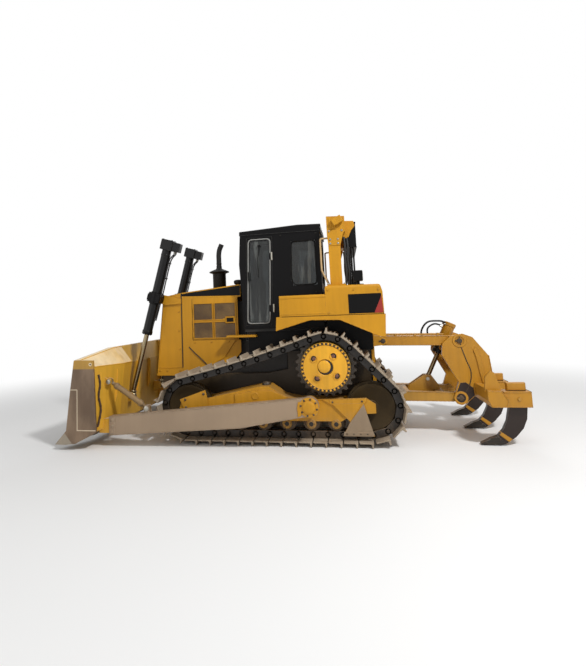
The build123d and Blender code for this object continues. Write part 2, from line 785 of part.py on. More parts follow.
# ---- blade ----------------------------------------------------------------------------------------
# corner, x and z at the bend, x and z at the end plate
blade_table = (
    ("lip", (3300, 1390), (3540, 1257)),
    ("hollow", (3236, 800), (3478, 760)),
    ("edge", (3405, 272), (3645, 272)),
    ("heel", (3300, 200), (3500, 200)),
    ("low back", (3128, 300), (3230, 255)),
    ("high back", (3030, 1150), (3238, 1160)),
    ("top back", (3210, 1390), (3450, 1257)),
)
bend = {name: at_bend for name, at_bend, _ in blade_table}
tip = {name: at_end for name, _, at_end in blade_table}


def hollow_face(lip, hollow, edge, steps=6):
    """Points along the arc through the lip, the deepest point and the edge."""
    ax, az = hollow[0] - lip[0], hollow[1] - lip[1]
    bx, bz = edge[0] - lip[0], edge[1] - lip[1]
    twice = 2 * (ax * bz - az * bx)
    a, b = ax * ax + az * az, bx * bx + bz * bz
    cx, cz = lip[0] + (bz * a - az * b) / twice, lip[1] + (ax * b - bx * a) / twice
    radius = hypot(lip[0] - cx, lip[1] - cz)
    start = atan2(lip[1] - cz, lip[0] - cx) % (2 * pi)
    end = atan2(edge[1] - cz, edge[0] - cx) % (2 * pi)
    turns = [start + (end - start) * k / steps for k in range(steps + 1)]
    return [(cx + radius * cos(turn), cz + radius * sin(turn)) for turn in turns]


def blade_section(corners, y):
    """Closed section of the moldboard and its back box: a hollow front and a straight back."""
    with BuildSketch(side(y)) as section:
        with BuildLine():
            Polyline(
                *hollow_face(corners["lip"], corners["hollow"], corners["edge"]),
                corners["heel"], corners["low back"], corners["high back"], corners["top back"],
                close=True,
            )
        make_face()
    return section.sketch


centre_back = dict(bend)
centre_back["low back"] = (3240, 240)
centre_back["high back"] = (3190, 1100)
centre_back["top back"] = (3250, 1390)
wing_end = blade_half - end_plate
with BuildPart() as blade:
    extrude(blade_section(centre_back, 0), amount=recess_y, both=True)
    for hand, s in hands:
        extrude(blade_section(bend, s * (recess_y + bend_y) / 2), amount=(bend_y - recess_y) / 2, both=True)
        loft([blade_section(bend, s * bend_y), blade_section(tip, s * wing_end)], ruled=True)
        slab(
            (
                (3198, 251), (3233, 1252), (3540, 1257), (3600, 829), (3665, 272), (3840, 82),
                (3700, 78), (3524, 95),
            ),
            s * (blade_half - end_plate / 2),
            end_plate,
        )
        # pin brackets of the lift cylinders
        for edge in (-1, 1):
            ear_y = s * lift_y + edge * (eye_width / 2 + side_gap + ear_width / 2)
            slab(
                (
                    (3228, 470), (lift_eye[0] - 30, 530), (lift_eye[0] - 52, lift_eye[1]),
                    (lift_eye[0] - 30, 640), (3220, 668),
                ),
                ear_y,
                ear_width,
            )
        drum(lift_eye, eye_pin_r, s * lift_y, eye_width + 2 * side_gap + 2 * ear_width + 20)
        # seat of the push arm, and ears for the brace
        block((arm_front_x, 3260), (s * (arm_y - 50), s * (arm_y + 50)), (200, 400))
        for edge in (-1, 1):
            ear_y = s * arm_y + edge * (brace_width / 2 + pin_gap + brace_ear / 2)
            slab(((3075, 890), (3075, 960), (3190, 985), (3190, 865)), ear_y, brace_ear)
        drum(brace_high, brace_pin_r, s * arm_y, brace_width + 2 * brace_ear + 24)
save(blade, "blade")

edge_drop, edge_reach, edge_foot, seat_share = 192.0, 195.0, 70.0, 0.36


def edge_section(corners, y):
    """Section of the cutting edge at y, seated along the moldboard's lower side."""
    top, heel = corners["edge"], corners["heel"]
    tip_x, tip_z = top[0] + edge_reach, top[1] - edge_drop
    seat = (top[0] + seat_share * (heel[0] - top[0]), top[1] + seat_share * (heel[1] - top[1]))
    with BuildSketch(side(y)) as section:
        with BuildLine():
            Polyline(top, (tip_x, tip_z), (tip_x - edge_foot, tip_z), seat, close=True)
        make_face()
    return section.sketch


with BuildPart() as cutting_edge:
    extrude(edge_section(bend, 0), amount=bend_y, both=True)
    for hand, s in hands:
        loft([edge_section(bend, s * bend_y), edge_section(tip, s * wing_end)], ruled=True)
save(cutting_edge, "cutting_edge")

with BuildPart() as push_arms:
    for hand, s in hands:
        slab(
            (
                (arm_front_x, 435), (384, 678), (250, 690), (150, 640), (150, 500), (250, 450),
                (390, 431), (1170, 291), (arm_front_x, 168),
            ),
            s * arm_y,
            arm_width,
        )
        drum(trunnion, 132, s * arm_y, arm_width)
        drum(trunnion, trunnion_r + pin_gap, s * arm_y, arm_width + 20, mode=Mode.SUBTRACT)
        for edge in (-1, 1):
            ear_y = s * arm_y + edge * (brace_width / 2 + pin_gap + brace_ear / 2)
            slab(((2480, 470), (2497, 590), (2557, 590), (2574, 470)), ear_y, brace_ear)
        drum(brace_low, brace_pin_r, s * arm_y, brace_width + 2 * brace_ear + 16)
save(push_arms, "push_arms")

# a screw brace on the left and the tilt cylinder on the right
brace_length = hypot(brace_high[0] - brace_low[0], brace_high[1] - brace_low[1])
screw_brace = ((30, brace_length - 30, 23, 23), (90, brace_length - 90, 36, 36))
tilt_cylinder = ((30, brace_length - 30, 23, 23), (90, 430, 58, 58), (430, brace_length - 80, 32, 32))
with BuildPart() as blade_braces:
    for hand, s in hands:
        turned(screw_brace if s > 0 else tilt_cylinder, along(brace_low, brace_high, s * arm_y))
        for eye in (brace_low, brace_high):
            drum(eye, brace_eye_r, s * arm_y, brace_width)
            drum(eye, brace_pin_r + pin_gap, s * arm_y, brace_width + 10, mode=Mode.SUBTRACT)
save(blade_braces, "blade_braces")

# ---- lift cylinders -------------------------------------------------------------------------------
lift_length = hypot(lift_eye[0] - yoke[0], lift_eye[1] - yoke[1])
for hand, s in hands:
    up = along(lift_eye, yoke, s * lift_y)                 # from the rod's eye up through the yoke
    with BuildPart() as barrel:
        low, high = lift_length - barrel_down, lift_length + barrel_up
        turned(((low, low + 60, barrel_r + 8, barrel_r + 8), (low + 60, high, barrel_r, barrel_r)), up)
        # yoke clamp and its pin into the guard's bracket
        clamp = Plane(origin=up.origin + up.z_dir * (lift_length - 70), x_dir=up.x_dir, z_dir=up.z_dir)
        with BuildSketch(clamp) as clamp_face:
            Rectangle(2 * clamp_half, 200)
        extrude(clamp_face.sketch, amount=140)
        pin_low, pin_high = guard_half, lift_y - clamp_half + 5
        drum(yoke, yoke_pin_r, s * (pin_low + pin_high) / 2, pin_high - pin_low)
        # valve block on the top end
        cap = Plane(origin=up.origin + up.z_dir * (high - 1), x_dir=up.x_dir, z_dir=up.z_dir)
        with BuildSketch(cap) as cap_face:
            Rectangle(180, 200)
        extrude(cap_face.sketch, amount=170)
        toward_rear = 1 if up.y_dir.X < 0 else -1
        with BuildSketch(cap) as valve_face:
            with Locations((0, toward_rear * 160)):
                Rectangle(140, 130)
        extrude(valve_face.sketch, amount=150)
        bore_r = rod_r + pin_gap
        turned(((low - 1, low + gland, bore_r, bore_r),), up, mode=Mode.SUBTRACT)
        turned(((low + gland, high - 12, barrel_bore_r, barrel_bore_r),), up, mode=Mode.SUBTRACT)
    save(barrel, f"lift_barrel_{hand}")

    with BuildPart() as rod:
        drum(lift_eye, eye_r, s * lift_y, eye_width)
        head_r = barrel_bore_r - pin_gap
        head = lift_rod_length - rod_head
        turned(((40, head, rod_r, rod_r), (head, lift_rod_length, head_r, head_r)), up)
        drum(lift_eye, eye_bore_r, s * lift_y, eye_width + 10, mode=Mode.SUBTRACT)
    save(rod, f"lift_rod_{hand}")

# ---- ripper -----------------------------------------------------------------------------------------
with BuildPart() as ripper_mount:
    block((case_rear_x - 46, case_rear_x), (-460, 460), (470, 1450))
    for hand, s in hands:
        for edge in (-1, 1):
            ear_y = s * link_y + edge * (link_width / 2 + side_gap + 20)
            for pin in (ripper_low_front, ripper_top_front):
                slab(
                    (
                        (case_rear_x - 40, pin[1] - 74), (case_rear_x - 40, pin[1] + 90),
                        (pin[0], pin[1] + 60), (pin[0] - 60, pin[1] + 30), (pin[0] - 60, pin[1] - 30),
                        (pin[0], pin[1] - 60),
                    ),
                    ear_y,
                    40,
                )
        for pin in (ripper_low_front, ripper_top_front):
            drum(pin, link_pin_r, s * link_y, link_width + 2 * side_gap + 90)
save(ripper_mount, "ripper_mount")


def link_bar(front, rear, deep_front, deep_rear, y):
    """A ripper link: a tapered bar with a bored eye at each end."""
    slab(
        (
            (front[0], front[1] + deep_front / 2), (rear[0], rear[1] + deep_rear / 2),
            (rear[0], rear[1] - deep_rear / 2), (front[0], front[1] - deep_front / 2),
        ),
        y,
        link_width,
    )
    for pin in (front, rear):
        drum(pin, link_end_r, y, link_width)
        drum(pin, link_pin_r + pin_gap, y, link_width + 10, mode=Mode.SUBTRACT)


lug_width, lug_gap = 30.0, 40.0
with BuildPart() as lower_link:
    for hand, s in hands:
        link_bar(ripper_low_front, ripper_low_rear, 140, 120, s * link_y)
    # cross tube and the middle bar with the cylinder's lug
    block((-1700, -1040), (-link_y, link_y), (480, 500))
    block((-1680, -1560), (-link_y, link_y), (470, 580))
    block((-1180, -1060), (-link_y, link_y), (470, 600))
    for edge in (-1, 1):
        slab(
            (
                (-1160, 490), (-1216, 650), (ripper_lug[0] + 50, ripper_lug[1] + 60),
                (ripper_lug[0] - 50, ripper_lug[1] + 60), (-1640, 640), (-1660, 490),
            ),
            edge * (lug_gap + lug_width / 2),
            lug_width,
        )
save(lower_link, "ripper_lower_link")

with BuildPart() as upper_link:
    for hand, s in hands:
        link_bar(ripper_top_front, ripper_top_rear, 140, 140, s * link_y)
    block((-1250, -1150), (-link_y, link_y), (1300, 1380))
save(upper_link, "ripper_upper_links")

cheek_outline = (
    (-1640, 1130), (-1660, 1300), (-1780, 1400), (-1940, 1430), (-2068, 1378), (-2258, 1119),
    (-2290, 881), (-2270, 640), (-2050, 560), (-1925, 450), (-1800, 440), (-1775, 560), (-1840, 745),
)
beam_outline = ((-2040, 730), (-2215, 725), (-2290, 600), (-2262, 515), (-2085, 515), (-2040, 600))
with BuildPart() as ripper_frame:
    for hand, s in hands:
        slab(cheek_outline, s * cheek_y, cheek)
        for pin in (ripper_low_rear, ripper_top_rear):
            pin_in, pin_out = link_y - link_width / 2 - side_gap, cheek_y + cheek / 2 + 14
            drum(pin, link_pin_r, s * (pin_in + pin_out) / 2, pin_out - pin_in)
        # trunnion plates that carry the cylinder between them
        slab(
            (
                (-1670, 1180), (-1670, 1300), (-1740, 1320), (-2100, 1260), (-2150, 1120), (-1800, 1150),
            ),
            s * 150,
            44,
        )
        drum(ripper_trunnion, 40 + pin_gap, s * 150, 60, mode=Mode.SUBTRACT)
        block((-2110, -2010), (s * 130, s * cheek_y), (1140, 1240))
    slab(beam_outline, 0, 2 * beam_half)
    # back web between the cheeks
    slab(((-2225, 1110), (-2200, 1120), (-2215, 720), (-2255, 720)), 0, 2 * cheek_y)
    for y in shank_ys:
        block((-2590, -2262), (y - 105, y + 105), (500, 700))
        pocket = shank_width / 2 + pin_gap
        block((-2545, -2325), (y - pocket, y + pocket), (490, 710), mode=Mode.SUBTRACT)
save(ripper_frame, "ripper_frame")

with BuildPart() as shanks:
    front_x, back_x = -2325 - pin_gap, -2545 + pin_gap
    for y in shank_ys:
        with BuildSketch(side(y)) as curve:
            with BuildLine():
                Polyline(
                    (front_x, 470), (front_x, 800), (back_x, 800), (back_x, 470), (-2530, 342),
                    (-2478, 222), (-2382, 112), (-2265, 30), (-2165, 120), (-2236, 202),
                    (-2292, 314), (front_x, 470),
                )
            make_face()
        extrude(curve.sketch, amount=shank_width / 2, both=True)
save(shanks, "ripper_shanks")

with BuildPart() as tips:
    for y in shank_ys:
        slab(
            (
                (-2264.5, 29.5), (-2164.5, 119.5), (-2080, 90), (-1953, 22), (-1960, 14), (-2200, 14),
            ),
            y,
            shank_width + 12,
        )
save(tips, "ripper_tips")

cyl_down, cyl_up, cyl_r, cyl_bore_r, cyl_rod_r = 130.0, 370.0, 82.0, 62.0, 32.0
cyl_rod_length, cyl_gland, cyl_head = 708.0, 40.0, 30.0
cyl_length = hypot(ripper_trunnion[0] - ripper_lug[0], ripper_trunnion[1] - ripper_lug[1])
up = along(ripper_lug, ripper_trunnion, 0)
with BuildPart() as ripper_barrel:
    low, high = cyl_length - cyl_down, cyl_length + cyl_up
    turned(((low, low + 60, cyl_r + 10, cyl_r + 10), (low + 60, high, cyl_r, cyl_r)), up)
    for edge in (-1, 1):
        drum(ripper_trunnion, 40, edge * 124, 92)
    bore_r = cyl_rod_r + pin_gap
    turned(((low - 1, low + cyl_gland, bore_r, bore_r),), up, Mode.SUBTRACT)
    turned(((low + cyl_gland, high - 10, cyl_bore_r, cyl_bore_r),), up, Mode.SUBTRACT)
save(ripper_barrel, "ripper_barrel")
with BuildPart() as ripper_rod:
    drum(ripper_lug, 45, 0, 2 * (lug_gap - side_gap))
    head_r = cyl_bore_r - pin_gap
    head = cyl_rod_length - cyl_head
    turned(((20, head, cyl_rod_r, cyl_rod_r), (head, cyl_rod_length, head_r, head_r)), up)
    drum(ripper_lug, 26, 0, 100, mode=Mode.SUBTRACT)
save(ripper_rod, "ripper_rod")
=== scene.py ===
import bmesh
import bpy
import numpy as np
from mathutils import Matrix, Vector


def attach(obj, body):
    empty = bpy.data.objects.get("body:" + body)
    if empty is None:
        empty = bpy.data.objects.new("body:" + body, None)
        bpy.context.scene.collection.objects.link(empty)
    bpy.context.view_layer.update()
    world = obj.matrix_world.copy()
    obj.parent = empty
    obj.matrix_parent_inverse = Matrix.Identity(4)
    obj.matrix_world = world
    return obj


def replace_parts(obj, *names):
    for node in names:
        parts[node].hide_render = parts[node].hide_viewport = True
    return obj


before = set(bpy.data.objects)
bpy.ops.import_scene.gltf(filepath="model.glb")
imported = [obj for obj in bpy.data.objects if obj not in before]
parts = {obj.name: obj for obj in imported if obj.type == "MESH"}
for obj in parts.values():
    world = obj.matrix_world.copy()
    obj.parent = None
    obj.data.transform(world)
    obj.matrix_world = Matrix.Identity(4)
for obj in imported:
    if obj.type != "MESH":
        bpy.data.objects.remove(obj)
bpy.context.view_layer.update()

# ---- Main frame and belly guard ----------------------------------------------------------
# The case-and-frame weldment that everything hangs on: thick rolled plate, sprayed machine
# yellow, then dusted from below. Bolted skid plates close it underneath.


def grow(tree, kind, settings=None, **hub_shade_marks):
    """Add one shader node, set its options, then fill or feed its inputs; in0, in1 go by place."""
    made = tree.nodes.new("ShaderNode" + kind)
    for key, value in (settings or {}).items():
        setattr(made, key, value)
    for key, value in hub_shade_marks.items():
        numbered = key[:2] == "in" and key[2:].isdigit()
        socket = made.inputs[int(key[2:]) if numbered else key.replace("_", " ")]
        if isinstance(value, bpy.types.NodeSocket):
            tree.links.new(value, socket)
        else:
            socket.default_value = value
    return made


def sum_of(tree, operation, a, b=0.0, c=0.0):
    """One Math node on a, b and c."""
    return grow(tree, "Math", {"operation": operation}, in0=a, in1=b, in2=c).outputs[0]


def blend(tree, share, under, over, mode="MIX"):
    """Two colours mixed by a share from 0 to 1."""
    mixer = grow(tree, "Mix", {"data_type": "RGBA", "blend_type": mode}, in0=share, in6=under, in7=over)
    return mixer.outputs[2]


def ramp(tree, value, low, high, start=0.0, end=1.0):
    """A smooth step: value from low to high becomes start to end."""
    step = grow(tree, "MapRange", {"interpolation_type": "SMOOTHSTEP"}, Value=value, From_Min=low,
        From_Max=high, To_Min=start, To_Max=end)
    return step.outputs[0]


def cloud(tree, scale, detail=4.0, stretch=(1, 1, 1), rough=0.55):
    """Fractal noise over the object's own coordinates, stretched along the axes."""
    place = grow(tree, "TexCoord").outputs["Object"]
    spread = grow(tree, "Mapping", in0=place, Scale=stretch)
    return grow(tree, "TexNoise", in0=spread.outputs[0], Scale=scale, Detail=detail,
        Roughness=rough).outputs[0]


def new_group(name, takes, gives):
    """An empty shader node group; takes lists (label, kind, value) and gives (label, kind)."""
    tree = bpy.data.node_groups.new(name, "ShaderNodeTree")
    for label, kind, value in takes:
        made = tree.interface.new_socket(label, in_out="INPUT", socket_type="NodeSocket" + kind)
        made.default_value = value
    for label, kind in gives:
        tree.interface.new_socket(label, in_out="OUTPUT", socket_type="NodeSocket" + kind)
    return tree, tree.nodes.new("NodeGroupInput").outputs, tree.nodes.new("NodeGroupOutput").inputs


def paint_code(red, green, blue):
    """A colour chip from 0 to 255 as linear light."""
    c = np.array([red, green, blue]) / 255
    return (*np.where(c < 0.04045, c / 12.92, ((c + 0.055) / 1.055) ** 2.4).tolist(), 1.0)


# rubbed edges: where a rounded normal leaves the flat one, broken up by noise
edge_group, takes, gives = new_group("rubbed edges", (("Radius", "Float", 0.006), ("Rub", "Float", 0.5)),
    (("Bared", "Float"), ("Normal", "Vector")))
rounded = grow(edge_group, "Bevel", {"samples": 4}, Radius=takes["Radius"]).outputs[0]
flat = grow(edge_group, "NewGeometry").outputs["Normal"]
turn = grow(edge_group, "VectorMath", {"operation": "DOT_PRODUCT"}, in0=rounded,
    in1=flat).outputs["Value"]
near_edge = ramp(edge_group, turn, 0.995, 0.86)
patchy = ramp(edge_group, cloud(edge_group, 16, 7), 0.46, 0.62)
rubbed = sum_of(edge_group, "MULTIPLY", near_edge, patchy)
edge_group.links.new(sum_of(edge_group, "MULTIPLY", rubbed, takes["Rub"]), gives["Bared"])
edge_group.links.new(rounded, gives["Normal"])

# dry earth: thick low down and on ledges, thin and cloudy above
earth_group, takes, gives = new_group("dry earth", (("Colour", "Color", (1, 1, 1, 1)),
    ("Earth", "Color", paint_code(150, 124, 96)), ("Amount", "Float", 0.3), ("Reach", "Float", 1.2),
    ("Roughness", "Float", 0.4)), (("Colour", "Color"), ("Roughness", "Float"), ("Height", "Float")))
above = grow(earth_group, "SeparateXYZ", in0=grow(earth_group, "TexCoord").outputs["Object"]).outputs[2]
upward = grow(earth_group, "SeparateXYZ", in0=grow(earth_group, "NewGeometry").outputs["Normal"]).outputs[
    2]
low = grow(earth_group, "MapRange", Value=above, From_Min=0.0, From_Max=takes["Reach"], To_Min=0.8,
    To_Max=0.0).outputs[0]
ledge = ramp(earth_group, upward, 0.3, 0.95, 0.0, 0.38)
drift = sum_of(earth_group, "MULTIPLY", cloud(earth_group, 2.3, 9, rough=0.66), 0.8)
grit = sum_of(earth_group, "MULTIPLY", cloud(earth_group, 55, 4), 0.35)
pile = sum_of(earth_group, "ADD", sum_of(earth_group, "ADD", low, ledge),
    sum_of(earth_group, "ADD", drift, grit))
start = sum_of(earth_group, "MULTIPLY_ADD", takes["Amount"], -1.3, 1.5)
cover = grow(earth_group, "MapRange", {"interpolation_type": "SMOOTHSTEP"},
    Value=sum_of(earth_group, "SUBTRACT", pile, start), From_Min=0.0, From_Max=0.75).outputs[0]
tinted = blend(earth_group, cloud(earth_group, 7, 6), takes["Earth"], paint_code(106, 84, 62))
earth_group.links.new(blend(earth_group, cover, takes["Colour"], tinted), gives["Colour"])
earth_group.links.new(grow(earth_group, "MapRange", Value=cover, To_Min=takes["Roughness"],
    To_Max=0.95).outputs[0], gives["Roughness"])
crust = sum_of(earth_group, "MULTIPLY", cloud(earth_group, 30, 6),
    sum_of(earth_group, "MULTIPLY_ADD", cover, 0.9, 0.1))
earth_group.links.new(crust, gives["Height"])

# weathered tone: sun fade in broad patches and rain streaks that run down
tone_group, takes, gives = new_group("weathered tone", (("Colour", "Color", (1, 1, 1, 1)),
    ("Streaks", "Float", 0.3)), (("Colour", "Color"),))
faded = ramp(tone_group, cloud(tone_group, 0.9, 3), 0.3, 0.7, 0.9, 1.08)
runs = ramp(tone_group, cloud(tone_group, 1.0, 5, (14, 14, 0.9)), 0.35, 0.7, 1.0, 0.74)
runs = grow(tone_group, "MapRange", Value=takes["Streaks"], To_Min=1.0, To_Max=runs).outputs[0]
shaded = grow(tone_group, "HueSaturation", Color=takes["Colour"],
    Value=sum_of(tone_group, "MULTIPLY", faded, runs)).outputs[0]
tone_group.links.new(shaded, gives["Colour"])


def blank_material(name):
    """A new material with its node tree and its Principled shader."""
    made = bpy.data.materials.new(name)
    made.use_nodes = True
    return made, made.node_tree, made.node_tree.nodes["Principled BSDF"]


def coating(name, colour, rough=0.42, earth=0.25, reach=1.3, rub=0.5, streaks=0.2, bare=(96, 82, 66),
        soil=(158, 131, 101), radius=0.006, metal=0.0, bump=0.35, grip=0.004, gloss=0.5):
    """A finish in layers: weathered colour, rubbed edges showing bare metal, then dry earth."""
    made, tree, shader = blank_material(name)
    tone = grow(tree, "Group", {"node_tree": tone_group}, Colour=paint_code(*colour), Streaks=streaks)
    edge = grow(tree, "Group", {"node_tree": edge_group}, Radius=radius, Rub=rub)
    metal_edge = blend(tree, edge.outputs["Bared"], tone.outputs[0], paint_code(*bare))
    dust = grow(tree, "Group", {"node_tree": earth_group}, Colour=metal_edge, Earth=paint_code(*soil),
        Amount=earth, Reach=reach, Roughness=rough)
    relief = grow(tree, "Bump", Strength=bump, Distance=grip, Height=dust.outputs["Height"],
        Normal=edge.outputs["Normal"])
    tree.links.new(dust.outputs["Colour"], shader.inputs["Base Color"])
    tree.links.new(dust.outputs["Roughness"], shader.inputs["Roughness"])
    tree.links.new(relief.outputs[0], shader.inputs["Normal"])
    shader.inputs["Metallic"].default_value = metal
    shader.inputs["Specular IOR Level"].default_value = gloss
    return made


machine_yellow = coating("machine yellow", (197, 139, 19), 0.5, 0.14, 1.5, streaks=0.3, gloss=0.35)
frame_yellow = coating("frame yellow, low down", (192, 136, 26), 0.5, 0.34, 1.4, streaks=0.5, gloss=0.35)
# painted shade: this dark oily brown is partly grime and partly the deep shadow inside the tracks,
# painted onto the case
case_grime_and_shade = coating("case, grime and painted shade", (58, 44, 22), 0.5, 0.3, 1.5, streaks=0.5,
    bare=(120, 96, 48))
skid_steel = coating("skid plate steel", (82, 68, 52), 0.6, 0.6, 1.2, bare=(120, 110, 98))


def wear(names, material):
    """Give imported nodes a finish."""
    for name in names.split():
        parts[name].data.materials.clear()
        parts[name].data.materials.append(material)


# the case wears the dark brown that carries painted shade
wear("main_frame", case_grime_and_shade)
wear("belly_guard", skid_steel)

# ---- Tracks ------------------------------------------------------------------------------
# Each chain is thirty-nine forged links on hardened pins, with a rolled single-bar shoe
# bolted across every link. Dry mud cakes the shoes; the chain stays dark with oil.
axle_x, axle_z, idler_z, track_y = -0.625, 1.06, 0.508, 0.94
idler_xs = (-0.59, 2.015)
hands = (("left", 1), ("right", -1))
# each wheel the chain runs round: x from the sprocket, z, radius, and the sag of the run after it
pin_wheels = np.array([(idler_xs[0], idler_z, 0.375, 0.0), (idler_xs[1], idler_z, 0.375, 0.036),
    (0.0, axle_z, 0.415, 0.0)])


def pin_line(count=39, steps=40):
    """Pin centres, equal steps along a closed line: tangent runs with a sag, then wheel arcs.

    A run is the straight between two tangent points plus its sag times 4 t (1 - t); an arc
    is centre + r (sin a, -cos a) between the headings of the runs either side of it.
    """
    ahead_wheels = np.roll(pin_wheels, -1, 0)
    gap = ahead_wheels - pin_wheels
    heading = np.arctan2(gap[:, 1], gap[:, 0]) + np.arcsin(-gap[:, 2] / np.hypot(gap[:, 0], gap[:, 1]))
    t = np.arange(steps)[:, None] / steps
    line = []
    for i in range(3):
        a, b = heading[i], heading[(i + 1) % 3]
        b += 2 * np.pi * (b < a)
        out = np.array([np.sin(a), -np.cos(a)])
        start = pin_wheels[i, :2] + pin_wheels[i, 2] * out
        end = ahead_wheels[i, :2] + ahead_wheels[i, 2] * out
        line.append(start + t * (end - start) - pin_wheels[i, 3] * 4 * t * (1 - t) * out)
        angle = a + t * (b - a)
        line.append(ahead_wheels[i, :2] + ahead_wheels[i, 2] * np.hstack([np.sin(angle), -np.cos(angle)]))
    line = np.concatenate(line)
    line = np.vstack([line, line[:1]])
    walked = np.concatenate([[0], np.cumsum(np.hypot(*np.diff(line, axis=0).T))])
    at = np.arange(count) * walked[-1] / count
    return np.stack([np.interp(at, walked, line[:, 0]) + axle_x, np.interp(at, walked, line[:, 1])], 1)


link_pins = pin_line()
link_step = np.roll(link_pins, -1, 0) - link_pins
link_pitch = np.hypot(*link_step.T).mean()
link_run = link_step / np.hypot(*link_step.T)[:, None]
zero = np.zeros(len(link_run))
link_frames = np.stack([np.stack([link_run[:, 0], zero, link_run[:, 1]], 1),
    np.stack([zero, zero + 1, zero], 1), np.stack([link_run[:, 1], zero, -link_run[:, 0]], 1)], 2)


def lattice(rows, cols, closed):
    """Quads over rings of points: round each ring, and from the last to the first if closed."""
    i = np.arange(rows if closed else rows - 1)[:, None]
    j = np.arange(cols)[None, :]
    a, b = i * cols + j, i * cols + (j + 1) % cols
    c, d = (i + 1) % rows * cols + (j + 1) % cols, (i + 1) % rows * cols + j
    return np.stack([a, b, c, d], -1).reshape(-1, 4)


def rings(points, closed=False):
    """A skin through rings of points shaped (ring, point, xyz), capped at its ends or closed."""
    rows, cols = points.shape[:2]
    faces = lattice(rows, cols, closed).tolist()
    if not closed:
        faces += [list(range(cols))[::-1], list(range((rows - 1) * cols, rows * cols))]
    return points.reshape(-1, 3), faces


def turned(profile, spokes=24, centre=(0, 0, 0), axis=(0, 1, 0), closed=False):
    """Surface of revolution: centre + axis * d + r * (e cos a + f sin a), rows are (r, d)."""
    axis = np.asarray(axis, float) / np.linalg.norm(axis)
    e = np.cross(axis, (0, 0, 1) if abs(axis[2]) < 0.9 else (1, 0, 0))
    e /= np.linalg.norm(e)
    f = np.cross(axis, e)
    a = np.arange(spokes) * 2 * np.pi / spokes
    r, d = np.asarray(profile, float).T
    spoke = np.cos(a)[:, None] * e + np.sin(a)[:, None] * f
    return rings(np.asarray(centre) + d[:, None, None] * axis + r[:, None, None] * spoke, closed=closed)


def inward(outline, by):
    """A closed outline moved in by a distance along the mitre at each corner."""
    outline = np.asarray(outline, float)
    run = np.roll(outline, -1, 0) - outline
    run /= np.linalg.norm(run, axis=1)[:, None]
    normal = np.stack([-run[:, 1], run[:, 0]], 1)
    area = np.sum(outline[:, 0] * np.roll(outline[:, 1], -1) - np.roll(outline[:, 0], -1) * outline[:, 1])
    normal *= np.sign(area)
    mitre = normal + np.roll(normal, 1, 0)
    mitre /= np.maximum(1 + np.sum(normal * np.roll(normal, 1, 0), 1), 0.3)[:, None]
    return outline + by * mitre


def plate(outline, low, high, chamfer=0.003):
    """A plate: an (x, z) outline carried across from y = low to high, its rims chamfered."""
    rows = []
    for level, by in ((low, chamfer), (low + chamfer, 0), (high - chamfer, 0), (high, chamfer)):
        edge = inward(outline, by)
        rows.append(np.stack([edge[:, 0], np.full(len(edge), float(level)), edge[:, 1]], 1))
    return rings(np.array(rows))


def join(*shells):
    """Several (points, faces) shells as one."""
    points, faces, base = [], [], 0
    for p, f in shells:
        points.append(np.asarray(p, float))
        faces += [[base + i for i in face] for face in f]
        base += len(p)
    return np.concatenate(points), faces


def repeated(shell, places, frames=None):
    """A shell copied to every place, turned first by that place's 3 x 3 frame if given."""
    p, f = shell
    places = np.asarray(places, float).reshape(-1, 3)
    frames = np.broadcast_to(np.eye(3) if frames is None else frames, (len(places), 3, 3))
    points = (np.einsum("kij,pj->kpi", frames, p) + places[:, None]).reshape(-1, 3)
    faces = [[i + k * len(p) for i in face] for k in range(len(places)) for face in f]
    return points, faces


def build(name, shell, material, body="machine", slot=None, smooth=40):
    """Put a shell into a mesh object with its faces outward, riding on a body."""
    mesh = bpy.data.meshes.new(name)
    mesh.from_pydata(np.asarray(shell[0]).tolist(), [], shell[1])
    mesh.update()
    made = bpy.data.objects.new(name, mesh)
    bpy.context.scene.collection.objects.link(made)
    work = bmesh.new()
    work.from_mesh(mesh)
    bmesh.ops.recalc_face_normals(work, faces=work.faces)
    work.to_mesh(mesh)
    work.free()
    mesh.materials.append(material)
    mesh.shade_smooth()
    mesh.set_sharp_from_angle(angle=np.radians(smooth))
    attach(made, body)
    return made


def bolt(radius, height, washer=1.35):
    """A hexagon head on its washer, standing on z = 0."""
    head = turned([(radius, 0.0), (radius, height * 0.8), (radius * 0.82, height)], 6, axis=(0, 0, 1))
    disc = turned([(radius * washer, 0.0), (radius * washer, height * 0.22)], 10, axis=(0, 0, 1))
    return join(head, disc)


shoe_profile = [(0.006, 0.056), (0.006, 0.074), (0.0105, 0.079), (0.0145, 0.130), (0.0175, 0.133),
    (0.028, 0.133), (0.031, 0.130), (0.0405, 0.084), (0.052, 0.0775), (link_pitch - 0.022, 0.0765),
    (link_pitch - 0.008, 0.069), (link_pitch - 0.006, 0.058), (link_pitch - 0.014, 0.055), (0.02, 0.055)]
end_angles = np.radians(np.arange(110, 251, 35))
end_arc = 0.044 * np.stack([np.cos(end_angles), np.sin(end_angles)], 1)
link_profile = np.vstack([[(0.034, 0.054)], end_arc, [(0.03, -0.048)], [(link_pitch - 0.03, -0.048)],
    [link_pitch, 0] - end_arc, [(link_pitch - 0.034, 0.054)]])
shoe_bolts = [(s, y, 0.0775) for s in (0.088, 0.142) for y in (-0.1, -0.05, 0.05, 0.1)]
one_shoe = plate(shoe_profile, -0.28, 0.28, 0.005)
shoe_heads = repeated(bolt(0.0125, 0.011), shoe_bolts)
one_link = join(plate(link_profile, -0.104, -0.062, 0.004), plate(link_profile, 0.062, 0.104, 0.004),
    turned([(0.034, -0.062), (0.034, 0.062)], 12), turned([(0.021, -0.112), (0.024, -0.108),
    (0.024, 0.108), (0.021, 0.112)], 12))
shoe_mud = coating("shoe steel under dry mud", (158, 144, 124), 0.7, 0.52, 2.6, rub=0.95,
    bare=(200, 190, 174), soil=(184, 168, 146), radius=0.007, bump=0.8, grip=0.01)
chain_oil = coating("oily chain forging", (32, 25, 18), 0.42, 0.24, 2.2, rub=0.7, bare=(120, 108, 92),
    bump=0.5)
link_at = np.stack([link_pins[:, 0], zero, link_pins[:, 1]], 1)
